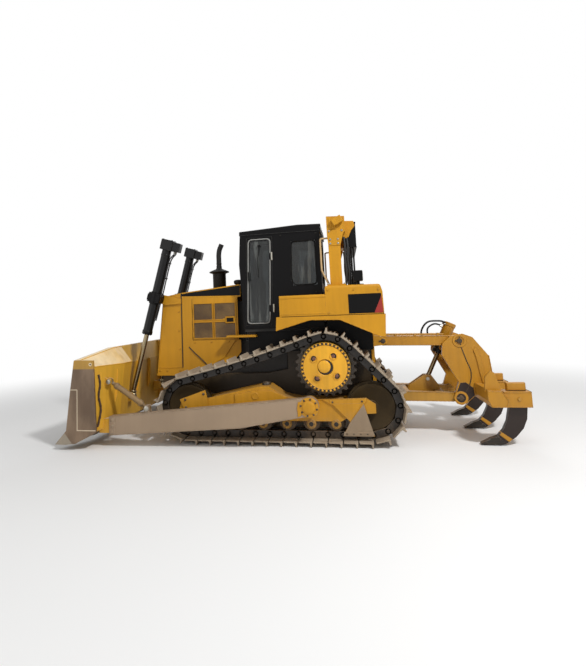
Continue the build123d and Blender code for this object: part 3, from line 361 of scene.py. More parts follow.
for hand, s in hands:
    here = link_at + (0, track_y * s, 0)
    shoes = repeated(join(one_shoe, shoe_heads), here, link_frames)
    shoe_piece = build(f"track_shoes_{hand}", shoes, shoe_mud, slot="track_steel", smooth=30)
    build(f"track_chain_{hand}", repeated(one_link, here, link_frames), chain_oil, slot="track_steel",
        smooth=35)
    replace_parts(shoe_piece, f"track_{hand}")

# ---- Track rollers and idlers ------------------------------------------------------------
# Forged double-flanged rollers with bolted end collars, and cast idlers with a dished web
# between rim and hub. All run in oil, and wear the dust that sticks to it.
wheel_oil = coating("roller forging, dusty oil", (58, 45, 28), 0.45, 0.4, 1.5, rub=0.9,
    bare=(140, 128, 110))
# painted shade: the idlers' olive is darkened past its oily colour to stand for the shade that falls on
# them
idler_olive_and_shade = coating("idler olive, painted shade", (54, 40, 14), 0.62, 0.2, 1.8, rub=0.7, bare=(110, 98, 72),
    streaks=0.4, gloss=0.25)
roller_count, roller_step, roller_z, wheel_half = 6, 0.336, 0.2933, 0.1447
roller_at = np.array([(axle_x - 0.105 + roller_step * k, y, roller_z) for y in (track_y, -track_y)
    for k in range(roller_count)])
roller_half = [(0.085, 0.0), (0.085, 0.02), (0.124, 0.028), (0.126, 0.042), (0.109, 0.05), (0.109, 0.104),
    (0.078, 0.112), (0.078, wheel_half), (0.001, wheel_half)]
roller_profile = [(r, -d) for r, d in roller_half[::-1]] + roller_half[1:]
rollers = repeated(turned(roller_profile, 28), roller_at)
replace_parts(build("roller_set", rollers, wheel_oil, slot="undercarriage_steel"), "track_rollers")
collar = turned([(0.001, 0.2), (0.03, 0.2), (0.034, 0.196), (0.058, 0.194), (0.066, 0.188), (0.068, 0.18),
    (0.001, 0.18)])
out_frame = np.stack([(1, 0, 0), (0, 0, -1), (0, 1, 0)], 1)


def ring_of(count, radius, out, centre=(0, 0), first=0):
    """Places round a wheel: centre + r (cos a, sin a) in side view, all at y = out."""
    a = np.radians(first + np.arange(count) * 360 / count)
    return np.stack([centre[0] + radius * np.cos(a), np.full(count, out), centre[1] + radius * np.sin(a)],
        1)


collar_set = join(collar, repeated(bolt(0.008, 0.008), ring_of(6, 0.046, 0.192), out_frame))
flip = np.diag([1, -1, 1])
sides = [np.eye(3)] * roller_count + [flip] * roller_count
idler_r = 0.308
idler_profile = [(0.088, -wheel_half), (0.088, -0.075), (0.235, -0.07), (0.27, -0.092), (idler_r, -0.095),
    (idler_r, -0.048), (idler_r + 0.028, -0.04), (idler_r + 0.028, 0.04), (idler_r, 0.048),
    (idler_r, 0.095), (0.27, 0.092), (0.235, 0.07), (0.088, 0.075), (0.088, wheel_half)]
idler_at = [(axle_x + x, y, idler_z) for x in idler_xs[::-1] for y in (track_y, -track_y)]
idler_set = repeated(turned(idler_profile, 48), idler_at)
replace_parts(build("idler_set", idler_set, idler_olive_and_shade, slot="undercarriage_steel"), "idlers")

# ---- Final drives ------------------------------------------------------------------------
# The raised drive hubs: a painted planetary housing with a ring of cap screws round its
# cover, four inspection bosses, and bolt-on rim segments whose teeth pull the chain.
hub_yellow = coating("hub yellow", (230, 168, 34), 0.42, 0.13, 2.2, streaks=0.5, rub=0.6)
hub_olive = coating("hub drum, oily olive", (96, 80, 34), 0.45, 0.3, 2.4, rub=0.6)
tooth_steel = coating("tooth segment steel", (66, 54, 40), 0.4, 0.34, 2.2, rub=1.0, bare=(150, 140, 124),
    bump=0.5)
hub_at = np.array([(axle_x, 0, axle_z)] * 2)
tooth_count = 26
tooth = np.array([(0.0, 0.393), (0.28, 0.393), (0.36, 0.402), (0.46, 0.426), (0.52, 0.429), (0.72, 0.429),
    (0.80, 0.424), (0.92, 0.402)])
angle = 2 * np.pi * (np.arange(tooth_count)[:, None] + tooth[:, 0]) / tooth_count
rim = np.stack([tooth[:, 1] * np.cos(angle), tooth[:, 1] * np.sin(angle)], 2).reshape(-1, 2)
cover_profile = [(0.001, 1.152), (0.106, 1.152), (0.108, 1.164), (0.114, 1.169), (0.122, 1.166),
    (0.27, 1.160), (0.296, 1.158), (0.3, 1.162), (0.336, 1.16), (0.338, 1.154), (0.338, 1.118)]
drum_profile = [(0.338, 1.118), (0.334, 1.112), (0.334, 0.99), (0.352, 0.98), (0.352, 0.9),
    (0.322, 0.888), (0.316, 0.8), (0.25, 0.7), (0.25, 0.43)]
boss_at = ring_of(4, 0.19, 1.158, first=38)
boss = turned([(0.05, 0.0), (0.05, 0.012), (0.048, 0.018), (0.0425, 0.018), (0.0415, 0.014),
    (0.0415, 0.002), (0.001, 0.002)], axis=(0, 0, 1))
screw_at, segment_at = ring_of(36, 0.318, 1.161), ring_of(15, 0.372, 0.975, first=8)
hub_cap = turned([(0.086, 1.152), (0.086, 1.168), (0.078, 1.174), (0.03, 1.176), (0.001, 1.176)], 40,
    (0.014, 0, 0.01))
cover = join(turned(cover_profile, 72), hub_cap, repeated(boss, boss_at, out_frame),
    repeated(bolt(0.0115, 0.011), screw_at, out_frame))
# painted shade: near-black discs in the boss recesses and a dark ring in the cover's groove stand for the
# shade in those hollows; the dark disc under the off-centre cap shows as a painted crescent of shadow
socket = turned([(0.041, 0.0), (0.041, 0.003), (0.001, 0.0035)], axis=(0, 0, 1))
plug = bolt(0.02, 0.014, 1.3)
shadow_crescent = turned([(0.103, 0.0), (0.103, 0.002), (0.001, 0.0025)], 48, (0, 1.1525, 0))
groove_shade = turned([(0.3005, 1.1622), (0.334, 1.1612), (0.334, 1.1600), (0.3005, 1.1608)], 72, closed=True)
hub_shade_marks = join(repeated(socket, boss_at + (0, 0.0025, 0), out_frame), shadow_crescent, groove_shade)
drum_shell = turned(drum_profile, 64)
segments = join(plate(rim, 0.905, 0.975, 0.004), repeated(bolt(0.014, 0.014), segment_at, out_frame))
both = [np.eye(3), flip]
# painted shade: near-black that stands for the shade in holes and recesses; the hub sockets, roller
# centres, recoil windows and the blade's edge bolts wear it
hole_shade_dark = coating("painted shade in a hole", (26, 20, 14), 0.6, 0.1)
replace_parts(build("drive_covers", repeated(cover, hub_at, both), hub_yellow, slot="yellow_paint"),
    "final_drives")
build("drive_hub_shade", repeated(hub_shade_marks, hub_at, both), hole_shade_dark)
plugs = repeated(plug, boss_at + (0, 0.0055, 0), out_frame)
plug_rust = coating("plug, rusty brown", (112, 74, 60), 0.5, 0.2, 2.2, rub=0.5)
build("drive_plugs", repeated(plugs, hub_at, both), plug_rust)
build("drive_drums", repeated(drum_shell, hub_at, both), hub_olive, slot="yellow_paint")
build("tooth_segments", repeated(segments, hub_at, both), tooth_steel, slot="track_steel", smooth=30)

# ---- Roller frames -----------------------------------------------------------------------
# Welded box beams that carry the wheels: flame-cut side plates, a humped recoil housing on
# top, bolted guards at the rear, and collars over every roller shaft.
wear("roller_frames", frame_yellow)
collars = repeated(collar_set, roller_at, sides)
collar_ochre = coating("roller collar, worn ochre", (158, 114, 36), 0.5, 0.3, 1.4, rub=0.8)
centre_disc = turned([(0.03, 0.0), (0.03, 0.004), (0.022, 0.006), (0.001, 0.0065)], 20, (0, 0.1985, 0))
# roller centres in the painted hole shade
build("roller_centres", repeated(centre_disc, roller_at, sides), hole_shade_dark)
build("roller_collars", collars, collar_ochre, slot="undercarriage_steel")


def loop_frames(path, up=(0, 0, 1)):
    """Side and rise directions along a path: side = tangent x up, rise = side x tangent."""
    path = np.asarray(path, float)
    tangent = np.gradient(path, axis=0)
    tangent /= np.linalg.norm(tangent, axis=1)[:, None]
    aside = np.cross(tangent, np.asarray(up, float))
    aside /= np.linalg.norm(aside, axis=1)[:, None]
    return aside, np.cross(aside, tangent)


def loop_round(aside, rise, count):
    """Unit circles about each place of a path: cos a * side + sin a * rise."""
    a = np.arange(count) * 2 * np.pi / count
    return np.cos(a)[None, :, None] * aside[:, None] + np.sin(a)[None, :, None] * rise[:, None]


def side_line(points):
    """Side-view points in millimetres, x forward from the sprocket, as metres in the row frame."""
    return np.asarray(points, float) / 1000 + (axle_x, 0)


def bead(path, radius=0.006, pitch=0.012, sides_round=6):
    """A weld bead: a thin round carried along a path, its radius rippled by a sine of length."""
    path = np.asarray(path, float)
    leg = np.linalg.norm(np.diff(path, axis=0), axis=1)
    walked = np.concatenate([[0], np.cumsum(leg)])
    at = np.linspace(0, walked[-1], max(int(walked[-1] / pitch), 3))
    line = np.stack([np.interp(at, walked, path[:, i]) for i in range(3)], 1)
    lean = (0, 1, 0) if abs(line[-1, 1] - line[0, 1]) < 0.5 * walked[-1] else (1, 0, 0.2)
    aside, rise = loop_frames(line, lean)
    swell = radius * (1 + 0.22 * np.sin(np.arange(len(at)) * 2.4))[:, None, None]
    return rings(line[:, None] + swell * loop_round(aside, rise, sides_round))


def mirrored(shell):
    """The shell and its copy on the other side of the machine."""
    p, f = shell
    return join(shell, (p * (1, -1, 1), [face[::-1] for face in f]))


def build_pair(name, shell, *finish, **look):
    """The same form on both sides of the machine, as one piece."""
    return build(name, mirrored(shell), *finish, **look)


outer = 1.13
recoil_window = (axle_x + 1.0, 0.672)
cap_hump = turned([(0.062, 0.0), (0.062, 0.028), (0.054, 0.038), (0.03, 0.04), (0.028, 0.046),
    (0.001, 0.046)], 24, (axle_x + 0.86, track_y, 0.797), (0, 0, 1))
recoil_box = plate([(axle_x + 0.56, 0.655), (axle_x + 0.76, 0.742), (axle_x + 0.98, 0.748),
    (axle_x + 1.3, 0.69), (axle_x + 1.3, 0.5), (axle_x + 0.56, 0.5)], outer, outer + 0.016, 0.004)
window = turned([(0.05, 0.0), (0.05, 0.022), (0.046, 0.026), (0.036, 0.026), (0.034, 0.0225)], 28,
    (recoil_window[0], outer, recoil_window[1]))
guard_bolts = [(axle_x + x, outer + 0.016, z) for x, z in ((-0.24, 0.172), (-0.33, 0.172), (-0.42, 0.172),
    (-0.51, 0.172), (-0.07, 0.59), (-0.46, 0.602), (1.76, 0.7), (2.04, 0.62), (2.03, 0.51), (1.74, 0.51))]
shelf = plate(side_line([(-30, 618), (-528, 640), (-500, 574), (-30, 560)]), outer + 0.014, outer + 0.022,
    0.003)
fold = plate(side_line([(-60, 566), (-470, 578), (-292, 330)]), outer + 0.014, outer + 0.026, 0.004)
lower_guard = plate(side_line([(-482, 566), (-596, 166), (-592, 146), (-196, 146), (-286, 318)]),
    outer + 0.014, outer + 0.020, 0.003)
lower_lip = plate(side_line([(-588, 200), (-598, 166), (-592, 142), (-192, 142), (-206, 200)]),
    outer + 0.018, outer + 0.030, 0.004)
frame_welds = join(bead([(axle_x - 0.52, outer + 0.002, 0.64), (axle_x + 0.38, outer + 0.002, 0.612),
    (axle_x + 0.56, outer + 0.002, 0.652)]), bead([(axle_x + 0.555, outer + 0.002, 0.655),
    (axle_x + 0.76, outer + 0.002, 0.746), (axle_x + 0.98, outer + 0.002, 0.752),
    (axle_x + 1.305, outer + 0.002, 0.693), (axle_x + 1.305, outer + 0.002, 0.5)]))
build_pair("recoil_housings", join(recoil_box, window), frame_yellow, slot="yellow_paint")
build_pair("hump_caps", cap_hump, wheel_oil, slot="undercarriage_steel")
build_pair("rear_folds", join(shelf, fold), frame_yellow, slot="yellow_paint", smooth=30)
guard_grey = coating("scoured guard plate", (142, 122, 98), 0.5, 0.36, 1.2, rub=0.8, bare=(190, 176, 152))
build_pair("rear_guards", join(lower_guard, lower_lip), guard_grey, slot="dusty_paint", smooth=30)
# recoil windows filled with the painted hole shade
build_pair("recoil_windows", turned([(0.0345, 0.002), (0.001, 0.002)], 24,
    (recoil_window[0], outer + 0.018, recoil_window[1])), hole_shade_dark)
build_pair("frame_bolts", repeated(bolt(0.014, 0.014), guard_bolts, out_frame), wheel_oil)
build_pair("frame_welds", frame_welds, frame_yellow)

# ---- Radiator guard, hood and engine doors -----------------------------------------------
# Thick plate guard at the front with louvres bolted in, a sheet hood behind it, and hinged
# doors whose four screened windows let the fan's air out. All sprayed machine yellow.


def bar(x, y, z, chamfer=0.003):
    """A chamfered block from three (low, high) pairs in millimetres, x from the sprocket."""
    outline = side_line([(x[0], z[0]), (x[1], z[0]), (x[1], z[1]), (x[0], z[1])])
    return plate(outline, min(y) / 1000, max(y) / 1000, chamfer)


def smooth_path(points, steps=7):
    """Catmull-Rom curve through points: half the sum of their cubic weights in t."""
    p = np.asarray(points, float)
    p = np.vstack([2 * p[0] - p[1], p, 2 * p[-1] - p[-2]])
    t = (np.arange(steps) / steps)[None, :, None]
    a, b, c, d = p[:-3, None], p[1:-2, None], p[2:-1, None], p[3:, None]
    curve = 0.5 * (2 * b + (c - a) * t + (2 * a - 5 * b + 4 * c - d) * t ** 2 + (
        3 * b - a - 3 * c + d) * t ** 3)
    return np.vstack([curve.reshape(-1, 3), p[-2]])


def pipe(points, radius, sides_round=10, steps=7):
    """A round tube along a smooth path: path + r (cos a * side + sin a * rise)."""
    path = smooth_path(points, steps)
    up = np.linalg.svd(path - path.mean(0))[2][2]
    return rings(path[:, None] + radius * loop_round(*loop_frames(path, up), sides_round))


def rel(x, y, z):
    """One point in metres from millimetres, x from the sprocket."""
    return np.array([x / 1000 + axle_x, y / 1000, z / 1000])


def spots(*points):
    """Several such points as the rows of one array."""
    return np.array([rel(*point) for point in points])


deep_black = coating("black paint, dusty", (8, 7, 7), 0.42, 0.04, 1.4, rub=0.35, bare=(92, 84, 72),
    bump=0.25, gloss=0.14)
rubber = coating("hose rubber", (14, 13, 12), 0.55, 0.16, 1.6, rub=0.1, bump=0.3, grip=0.002)
fitting_zinc = coating("zinc fitting", (168, 164, 152), 0.34, 0.12, 1.4, rub=0.2, metal=0.85, streaks=0.2)
block_grey = coating("engine block, oily grey", (34, 28, 22), 0.5, 0.24, 2.4, rub=0.5)
wear("radiator_guard hood engine_panels", machine_yellow)
wear("grille", deep_black)
wear("engine_block radiator", block_grey)

# screens behind the four windows of each door: punched plate, seen as a fine dark weave
screen_brown, tree, shader = blank_material("punched screen")
spot = grow(tree, "Mapping", in0=grow(tree, "TexCoord").outputs["Object"], Scale=(1, 0, 1)).outputs[0]
holes = grow(tree, "TexVoronoi", {"feature": "DISTANCE_TO_EDGE"}, in0=spot, Scale=90.0,
    Randomness=0.0).outputs[0]
solid = ramp(tree, holes, 0.18, 0.05)
haze = cloud(tree, 3.0, 5)
warm = blend(tree, ramp(tree, haze, 0.35, 0.65), paint_code(112, 80, 36), paint_code(160, 122, 66))
tree.links.new(blend(tree, solid, paint_code(22, 15, 8), warm), shader.inputs["Base Color"])
tree.links.new(grow(tree, "Bump", Strength=0.6, Distance=0.002, Height=solid).outputs[0],
    shader.inputs["Normal"])
shader.inputs["Roughness"].default_value = 0.6

door_face = 0.4795
window_x, window_z = ((1396, 1734), (1774, 2086)), ((1466, 1716), (1756, 2016))
screens, rims = [], []
for xs in window_x:
    for zs in window_z:
        screens.append(bar(xs, (480.2, 482), zs, 0.0005))
        outer_rim, inner_rim = (side_line([(xs[0] - by, zs[0] - by), (xs[1] + by, zs[0] - by),
            (xs[1] + by, zs[1] + by), (xs[0] - by, zs[1] + by)]) for by in (9, -3))
        line = np.stack([outer_rim, outer_rim, inner_rim, inner_rim])
        level = np.array([door_face, door_face + 0.01, door_face + 0.01, door_face])[:, None]
        loop = np.stack([line[..., 0], np.broadcast_to(level, line.shape[:2]), line[..., 1]], 2)
        rims.append(rings(loop.transpose(1, 0, 2), closed=True))
build_pair("door_screens", join(*screens), screen_brown, slot="dusty_paint")
build_pair("door_rims", join(*rims), machine_yellow, slot="yellow_paint", smooth=30)

# the bare black panel along the hood, and the doors' seams, latches, hinges and trim
hood_panel = side_line([(1306, 2124), (2284, 2150), (2284, 2186), (2140, 2206), (1306, 2284)])
build_pair("hood_panel", plate(hood_panel, door_face, door_face + 0.002, 0.0006), deep_black,
    slot="black_paint")
hood_bead = pipe(spots((2291, 483, 1010), (2291, 483, 1500), (2291, 483, 2196)), 0.008)
door_seams = [bar((1372, 1377), (479.5, 481.5), (1440, 2092)), bar((2108, 2113), (479.5, 481.5),
    (1440, 2100)), bar((1372, 2113), (479.5, 481.5), (1436, 1441))]
build_pair("hood_bead", hood_bead, rubber)
build_pair("door_seams", join(*door_seams), deep_black)
latch = join(bar((1400, 1560), (484, 496), (1690, 1800), 0.008),
    bar((1560, 1600), (484, 492), (1730, 1770), 0.003))
latch_pocket = join(bar((1424, 1536), (495, 498), (1712, 1778), 0.004),
    bar((1470, 1490), (497, 503), (1716, 1774), 0.002))
build_pair("latch_boxes", latch, machine_yellow, slot="yellow_paint")
build_pair("latch_pockets", latch_pocket, deep_black, slot="black_paint")
side_skirt = plate(side_line([(1322, 1424), (1322, 1236), (1420, 1130), (1640, 1040), (2010, 936),
    (2010, 1150), (1620, 1424)]), 0.4555, 0.4645, 0.002)
build_pair("side_skirts", side_skirt, machine_yellow, slot="yellow_paint")
door_hinges = join(*[turned([(0.011, -0.045), (0.013, -0.04), (0.013, 0.04), (0.011, 0.045)], 12,
    rel(2094, 486, z), (0, 0, 1)) for z in (1520, 1745, 1970)])
build_pair("door_hinges", door_hinges, machine_yellow, slot="yellow_paint")
guard_bolt_at = [rel(x, 480, z) for x, z in ((2340, 2120), (2480, 2110), (2340, 1900), (2340, 1600),
    (2340, 1300), (2340, 960), (2560, 960), (2680, 960), (1520, 1400), (1800, 1400), (2080, 1400))]
build_pair("guard_bolts", repeated(bolt(0.012, 0.011), guard_bolt_at, out_frame), machine_yellow,
    slot="yellow_paint")
guard_welds = join(bead(spots((2300, 481, 1010), (2500, 481, 1000), (2715, 481, 1010)), 0.005),
    bead(spots((2700, 481, 1060), (2636, 481, 1660), (2600, 481, 2000)), 0.004))
build_pair("guard_welds", guard_welds, machine_yellow)
guard_nose = plate(side_line([(2737, 884), (2741, 886), (2614, 2076), (2606, 2150), (2602, 2150),
    (2609, 2074)]), -0.478, -0.40, 0.001)
build_pair("guard_noses", guard_nose, deep_black)
panel_cable = pipe(spots((2180, 484, 1330), (2090, 490, 1240), (1990, 492, 1150), (1900, 490, 1060),
    (1850, 484, 985)), 0.007)
build_pair("panel_cables", panel_cable, rubber)

# ---- Exhaust and air precleaner ----------------------------------------------------------
# A welded sheet muffler with a turned-out rim, its stack bent back at the top, and the
# domed precleaner behind. Heat has burnt the black paint to a chalky brown.
burnt_black = coating("heat-burnt black", (20, 18, 16), 0.6, 0.12, 3.4, rub=0.4, bare=(96, 72, 50),
    soil=(96, 78, 58), gloss=0.3)
muffler_x, cleaner_x = 1760, 1430


def hood_top(x):
    """The hood's height in metres at x: 2207 mm in front, rising 98 mm over its 990 mm."""
    return (2207 + 98 * (2290 - x) / 990) / 1000


muffler_foot, cleaner_foot = hood_top(muffler_x), hood_top(cleaner_x)
muffler = [(0.001, muffler_foot + 0.012), (0.108, muffler_foot + 0.012), (0.112, muffler_foot + 0.02),
    (0.112, 2.515), (0.118, 2.528), (0.166, 2.545), (0.17, 2.552), (0.168, 2.562), (0.12, 2.584),
    (0.062, 2.606), (0.05, 2.618), (0.047, 2.63), (0.047, 2.66), (0.043, 2.665), (0.001, 2.665)]
muffler_body = turned(muffler, 40, rel(muffler_x, 0, 0), (0, 0, 1))
stack_line = smooth_path(spots((1760, 0, 2640), (1760, 0, 2760), (1759, 0, 2850), (1744, 0, 2940),
    (1702, 0, 3033)))
ring = loop_round(*loop_frames(stack_line, (0, 1, 0)), 24)
walls = np.concatenate([stack_line[:, None] + 0.0425 * ring, (stack_line[:, None] + 0.038 * ring)[::-1]])
stack = rings(walls, closed=True)
band = turned([(0.0425, -0.012), (0.046, -0.01), (0.046, 0.01), (0.0425, 0.012)], 24, rel(1760, 0, 2700),
    (0, 0, 1))
cleaner = turned([(0.001, cleaner_foot + 0.006), (0.055, cleaner_foot + 0.006), (0.055, 2.332),
    (0.07, 2.336), (0.076, 2.345), (0.078, 2.36), (0.078, 2.386), (0.07, 2.397), (0.045, 2.406),
    (0.02, 2.409), (0.001, 2.41)], 32, rel(cleaner_x, 0, 0), (0, 0, 1))
exhaust_set = join(muffler_body, stack, band, cleaner)
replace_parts(build("exhaust_set", exhaust_set, burnt_black, slot="black_paint", smooth=35), "exhaust")

# ---- Fenders, side boxes and fuel tank ---------------------------------------------------
# Folded sheet fenders that arch over the track, a battery box and a tool box on them, and
# the welded fuel tank across the back. The rear of each side carries a bare black panel.
wear("fenders side_boxes fuel_tank", machine_yellow)
stripe_red = coating("stripe red", (150, 36, 26), 0.4, 0.12, 1.4, rub=0.2, streaks=0.3)
seam = [bead(spots((x, 1147, 1765), (x + 700, 1147, 1765)), 0.0045) for x in (-828, -128)]
build_pair("fender_seams", join(*seam), deep_black)
black_panel = side_line([(-822, 1782), (-362, 1782), (-362, 2048), (-802, 2048)])
build_pair("tank_panels", plate(black_panel, 1.1395, 1.1425, 0.0006), deep_black, slot="black_paint")
red_slash = side_line([(-812, 1782), (-700, 1782), (-794, 1990), (-804, 2030), (-821, 1800)])
build_pair("tank_slashes", plate(red_slash, 1.142, 1.1445, 0.0006), stripe_red)
arch_line = [(663, 1574), (175, 1713), (-235, 1703), (-752, 1467), (-829, 1458)]
arch_lip = bead([rel(x, 1148, z + 3) for x, z in arch_line], 0.007, 0.03)
build_pair("fender_lips", arch_lip, machine_yellow)
box_lips = join(bar((-46, 596), (1139, 1145), (2018, 2034), 0.003),
    bar((-46, 596), (1139, 1143), (1790, 1798), 0.002))
build_pair("box_lips", box_lips, machine_yellow, slot="yellow_paint")
filler = turned([(0.001, 0.042), (0.05, 0.042), (0.058, 0.036), (0.06, 0.028), (0.06, 0.012),
    (0.052, 0.008), (0.052, 0.0), (0.001, 0.0)], 32, rel(-560, 430, 2177), (0, 0, 1))
build("fuel_cap", filler, deep_black, slot="black_paint")
# painted shade: black plates inside the fender arches, where the underside lies in deep shade, stand for
# that shade and close the gap
arch_shade_plate = side_line([(-690, 1240), (-690, 1740), (-30, 1740), (-30, 1640), (1180, 1640), (1180, 1240)])
build_pair("arch_shade_plates", plate(arch_shade_plate, 0.556, 0.566, 0.002), deep_black, slot="black_paint")
tank_strap_bolts = [rel(x, 1140, z) for x, z in ((-90, 1800), (-90, 2120), (-770, 2100), (-440, 2110))]
build_pair("tank_bolts", repeated(bolt(0.013, 0.01), tank_strap_bolts, out_frame), machine_yellow)

# ---- Cab ---------------------------------------------------------------------------------
# A black welded cab on rubber mounts: tinted flat panes in grey rubber seals, doors hung at
# their rear edge on bright hinges, and a headliner roof with a rolled rim.
cab_black = coating("cab paint, satin black", (7, 6, 7), 0.4, 0.03, 1.9, rub=0.4, bare=(104, 98, 88),
    bump=0.2, gloss=0.14)
seal_grey = coating("pale grey door seal", (150, 150, 146), 0.55, 0.1, 2.0, rub=0.1, bump=0.2, grip=0.002)
floor_mat = coating("ribbed floor mat", (34, 33, 32), 0.75, 0.2, 2.2, rub=0.1)
console_trim = coating("console plastic", (44, 43, 42), 0.6, 0.08, 2.2, rub=0.15, bump=0.4, grip=0.002)
wear("cab_shell cab_roof door_left door_right", cab_black)
wear("cab_floor", floor_mat)
wear("controls", console_trim)

tinted, tree, shader = blank_material("tinted glass")
shader.inputs["Roughness"].default_value = 0.03
shader.inputs["IOR"].default_value = 1.45
shader.inputs["Transmission Weight"].default_value = 1.0
smear = ramp(tree, cloud(tree, 2.2, 7, (1, 1, 0.5), 0.62), 0.42, 0.75)
tree.links.new(blend(tree, smear, paint_code(92, 98, 100), paint_code(120, 124, 120)),
    shader.inputs["Base Color"])
film = grow(tree, "BsdfDiffuse", Color=paint_code(150, 154, 150)).outputs[0]
rain = ramp(tree, cloud(tree, 3.2, 2, (3, 3, 0.3)), 0.56, 0.62)
haze = sum_of(tree, "MULTIPLY_ADD", smear, 0.08, sum_of(tree, "MULTIPLY_ADD", rain, 0.22, 0.03))
panes = grow(tree, "MixShader", in0=haze, in1=shader.outputs[0], in2=film)
tree.links.new(panes.outputs[0], tree.nodes["Material Output"].inputs[0])
wear("cab_glass door_glass_left door_glass_right", tinted)


def softened(outline, radius, steps=5):
    """Each corner of a closed outline swapped for the quadratic curve between its two cuts."""
    p = np.asarray(outline, float)
    before, after = np.roll(p, 1, 0) - p, np.roll(p, -1, 0) - p
    start = p + before / np.linalg.norm(before, axis=1)[:, None] * radius
    end = p + after / np.linalg.norm(after, axis=1)[:, None] * radius
    t = np.linspace(0, 1, steps)[None, :, None]
    return ((1 - t) ** 2 * start[:, None] + 2 * t * (1 - t) * p[:, None] + t ** 2 * end[:, None]).reshape(
        -1, 2)


def picture_frame(outline, width, low, high, round_by=0.004, corner=70):
    """A frame of rectangular section round a closed side outline, width inward from it."""
    outline = side_line(softened(outline, corner))
    band_in = inward(outline, width)
    lines = [outline, inward(outline, round_by), inward(outline, width - round_by), band_in, band_in,
        outline]
    levels = [low + (high - low) * 0.4, high, high, low + (high - low) * 0.4, low, low]
    rows = [np.stack([line[:, 0], np.full(len(line), level), line[:, 1]], 1)
        for line, level in zip(lines, levels)]
    return rings(np.stack(rows, 1), closed=True)


side_pane = [(70, 2230), (430, 2230), (470, 2330), (450, 2920), (70, 2920)]


def on_side(shell, s):
    """A shell as drawn for s = 1, or its reflection on the right for s = -1."""
    return shell[0] * (1, s, 1), shell[1]


door_seal = picture_frame([(1170, 1668), (1114, 2984), (752, 2984), (808, 1668)], 0.017, 0.6505, 0.660)
side_seal = picture_frame(side_pane, 0.018, 0.6505, 0.656)
gasket = picture_frame([(1193, 1642), (1137, 3008), (728, 3008), (783, 1642)], 0.008, 0.648, 0.6545,
    0.002, 20)
for hand, s in hands:
    build(f"door_seal_{hand}", on_side(door_seal, s), seal_grey, f"door_{hand}", smooth=30)
build_pair("side_seals", side_seal, deep_black, smooth=30)
build_pair("door_gaskets", gasket, rubber, smooth=30)

# bright hinge barrels and the handles ride with the doors
hinge_bright = coating("hinge, bright zinc", (176, 172, 160), 0.3, 0.1, 1.6, rub=0.3, metal=0.8,
    streaks=0.2)
barrel_line = [(0.0135, -0.062), (0.0145, -0.058), (0.0145, -0.021), (0.0135, -0.02), (0.0135, -0.018),
    (0.0145, -0.017), (0.0145, 0.017), (0.0135, 0.018), (0.0135, 0.02), (0.0145, 0.021), (0.0145, 0.058),
    (0.0135, 0.062)]
hinge_barrels = join(*[turned(barrel_line, 20, rel(745, 665, z), (0, 0, 1)) for z in (1900, 2700)])
grab = pipe(spots((1112, 652, 2338), (1112, 676, 2338), (1112, 684, 2350), (1112, 684, 2400),
    (1112, 684, 2450), (1112, 676, 2462), (1112, 652, 2462)), 0.0085)
for hand, s in hands:
    for label, shell, finish in (("hinges", hinge_barrels, hinge_bright), ("grip", grab, deep_black)):
        build(f"door_{label}_{hand}", on_side(shell, s), finish, f"door_{hand}")

# roof rim, door wipers, mounting bolts, and the steps below the doors
roof_rim = bead(spots((-17, 659, 3052), (700, 659, 3052), (1247, 659, 3052)), 0.005, 0.03)
build_pair("roof_rims", roof_rim, rubber)
wiper = join(pipe(spots((940, 658, 2860), (960, 664, 2700), (968, 664, 2540)), 0.006),
    bar((964, 972), (659, 663), (2380, 2700), 0.001), bar((922, 962), (652, 668), (2850, 2890), 0.004))
for hand, s in hands:
    build(f"wiper_{hand}", on_side(wiper, s), deep_black, f"door_{hand}")
mount_bolts = [rel(x, 651, z) for x, z in ((90, 1700), (400, 1700), (640, 1700), (90, 2120), (600, 3010),
    (60, 3010))]
build_pair("cab_bolts", repeated(bolt(0.01, 0.008), mount_bolts, out_frame), cab_black)
cab_step = join(bar((1034, 1500), (505, 712), (1471, 1503), 0.006),
    *[bar((x, x + 14), (520, 690), (1501, 1507), 0.002) for x in range(1070, 1480, 44)])
build_pair("cab_steps", cab_step, machine_yellow, slot="yellow_paint")

# ---- Seat --------------------------------------------------------------------------------
# A suspension seat: two cloth-covered foam cushions on a pressed shell, the back one tall.
# Each is blown up as cloth from a slightly small form.
seat_cloth, tree, shader = blank_material("seat cloth")
where = grow(tree, "TexCoord").outputs["Object"]
warp = grow(tree, "TexWave", {"bands_direction": "Y"}, in0=where, Scale=90.0).outputs["Fac"]
weft = grow(tree, "TexWave", {"bands_direction": "X"}, in0=where, Scale=90.0).outputs["Fac"]
weave = sum_of(tree, "MULTIPLY", warp, weft)
dusty = ramp(tree, cloud(tree, 5, 6), 0.35, 0.7)
cloth_tone = blend(tree, dusty, paint_code(52, 50, 50), paint_code(92, 86, 76))
tree.links.new(blend(tree, weave, cloth_tone, paint_code(30, 29, 29)), shader.inputs["Base Color"])
tree.links.new(grow(tree, "Bump", Strength=0.4, Distance=0.002, Height=weave).outputs[0],
    shader.inputs["Normal"])
shader.inputs["Roughness"].default_value = 0.9
shader.inputs["Sheen Weight"].default_value = 0.3


def soft(w, e):
    """A signed power, sign(w) |w|^e: the smaller e, the squarer the form."""
    return np.sign(w) * np.abs(w) ** e


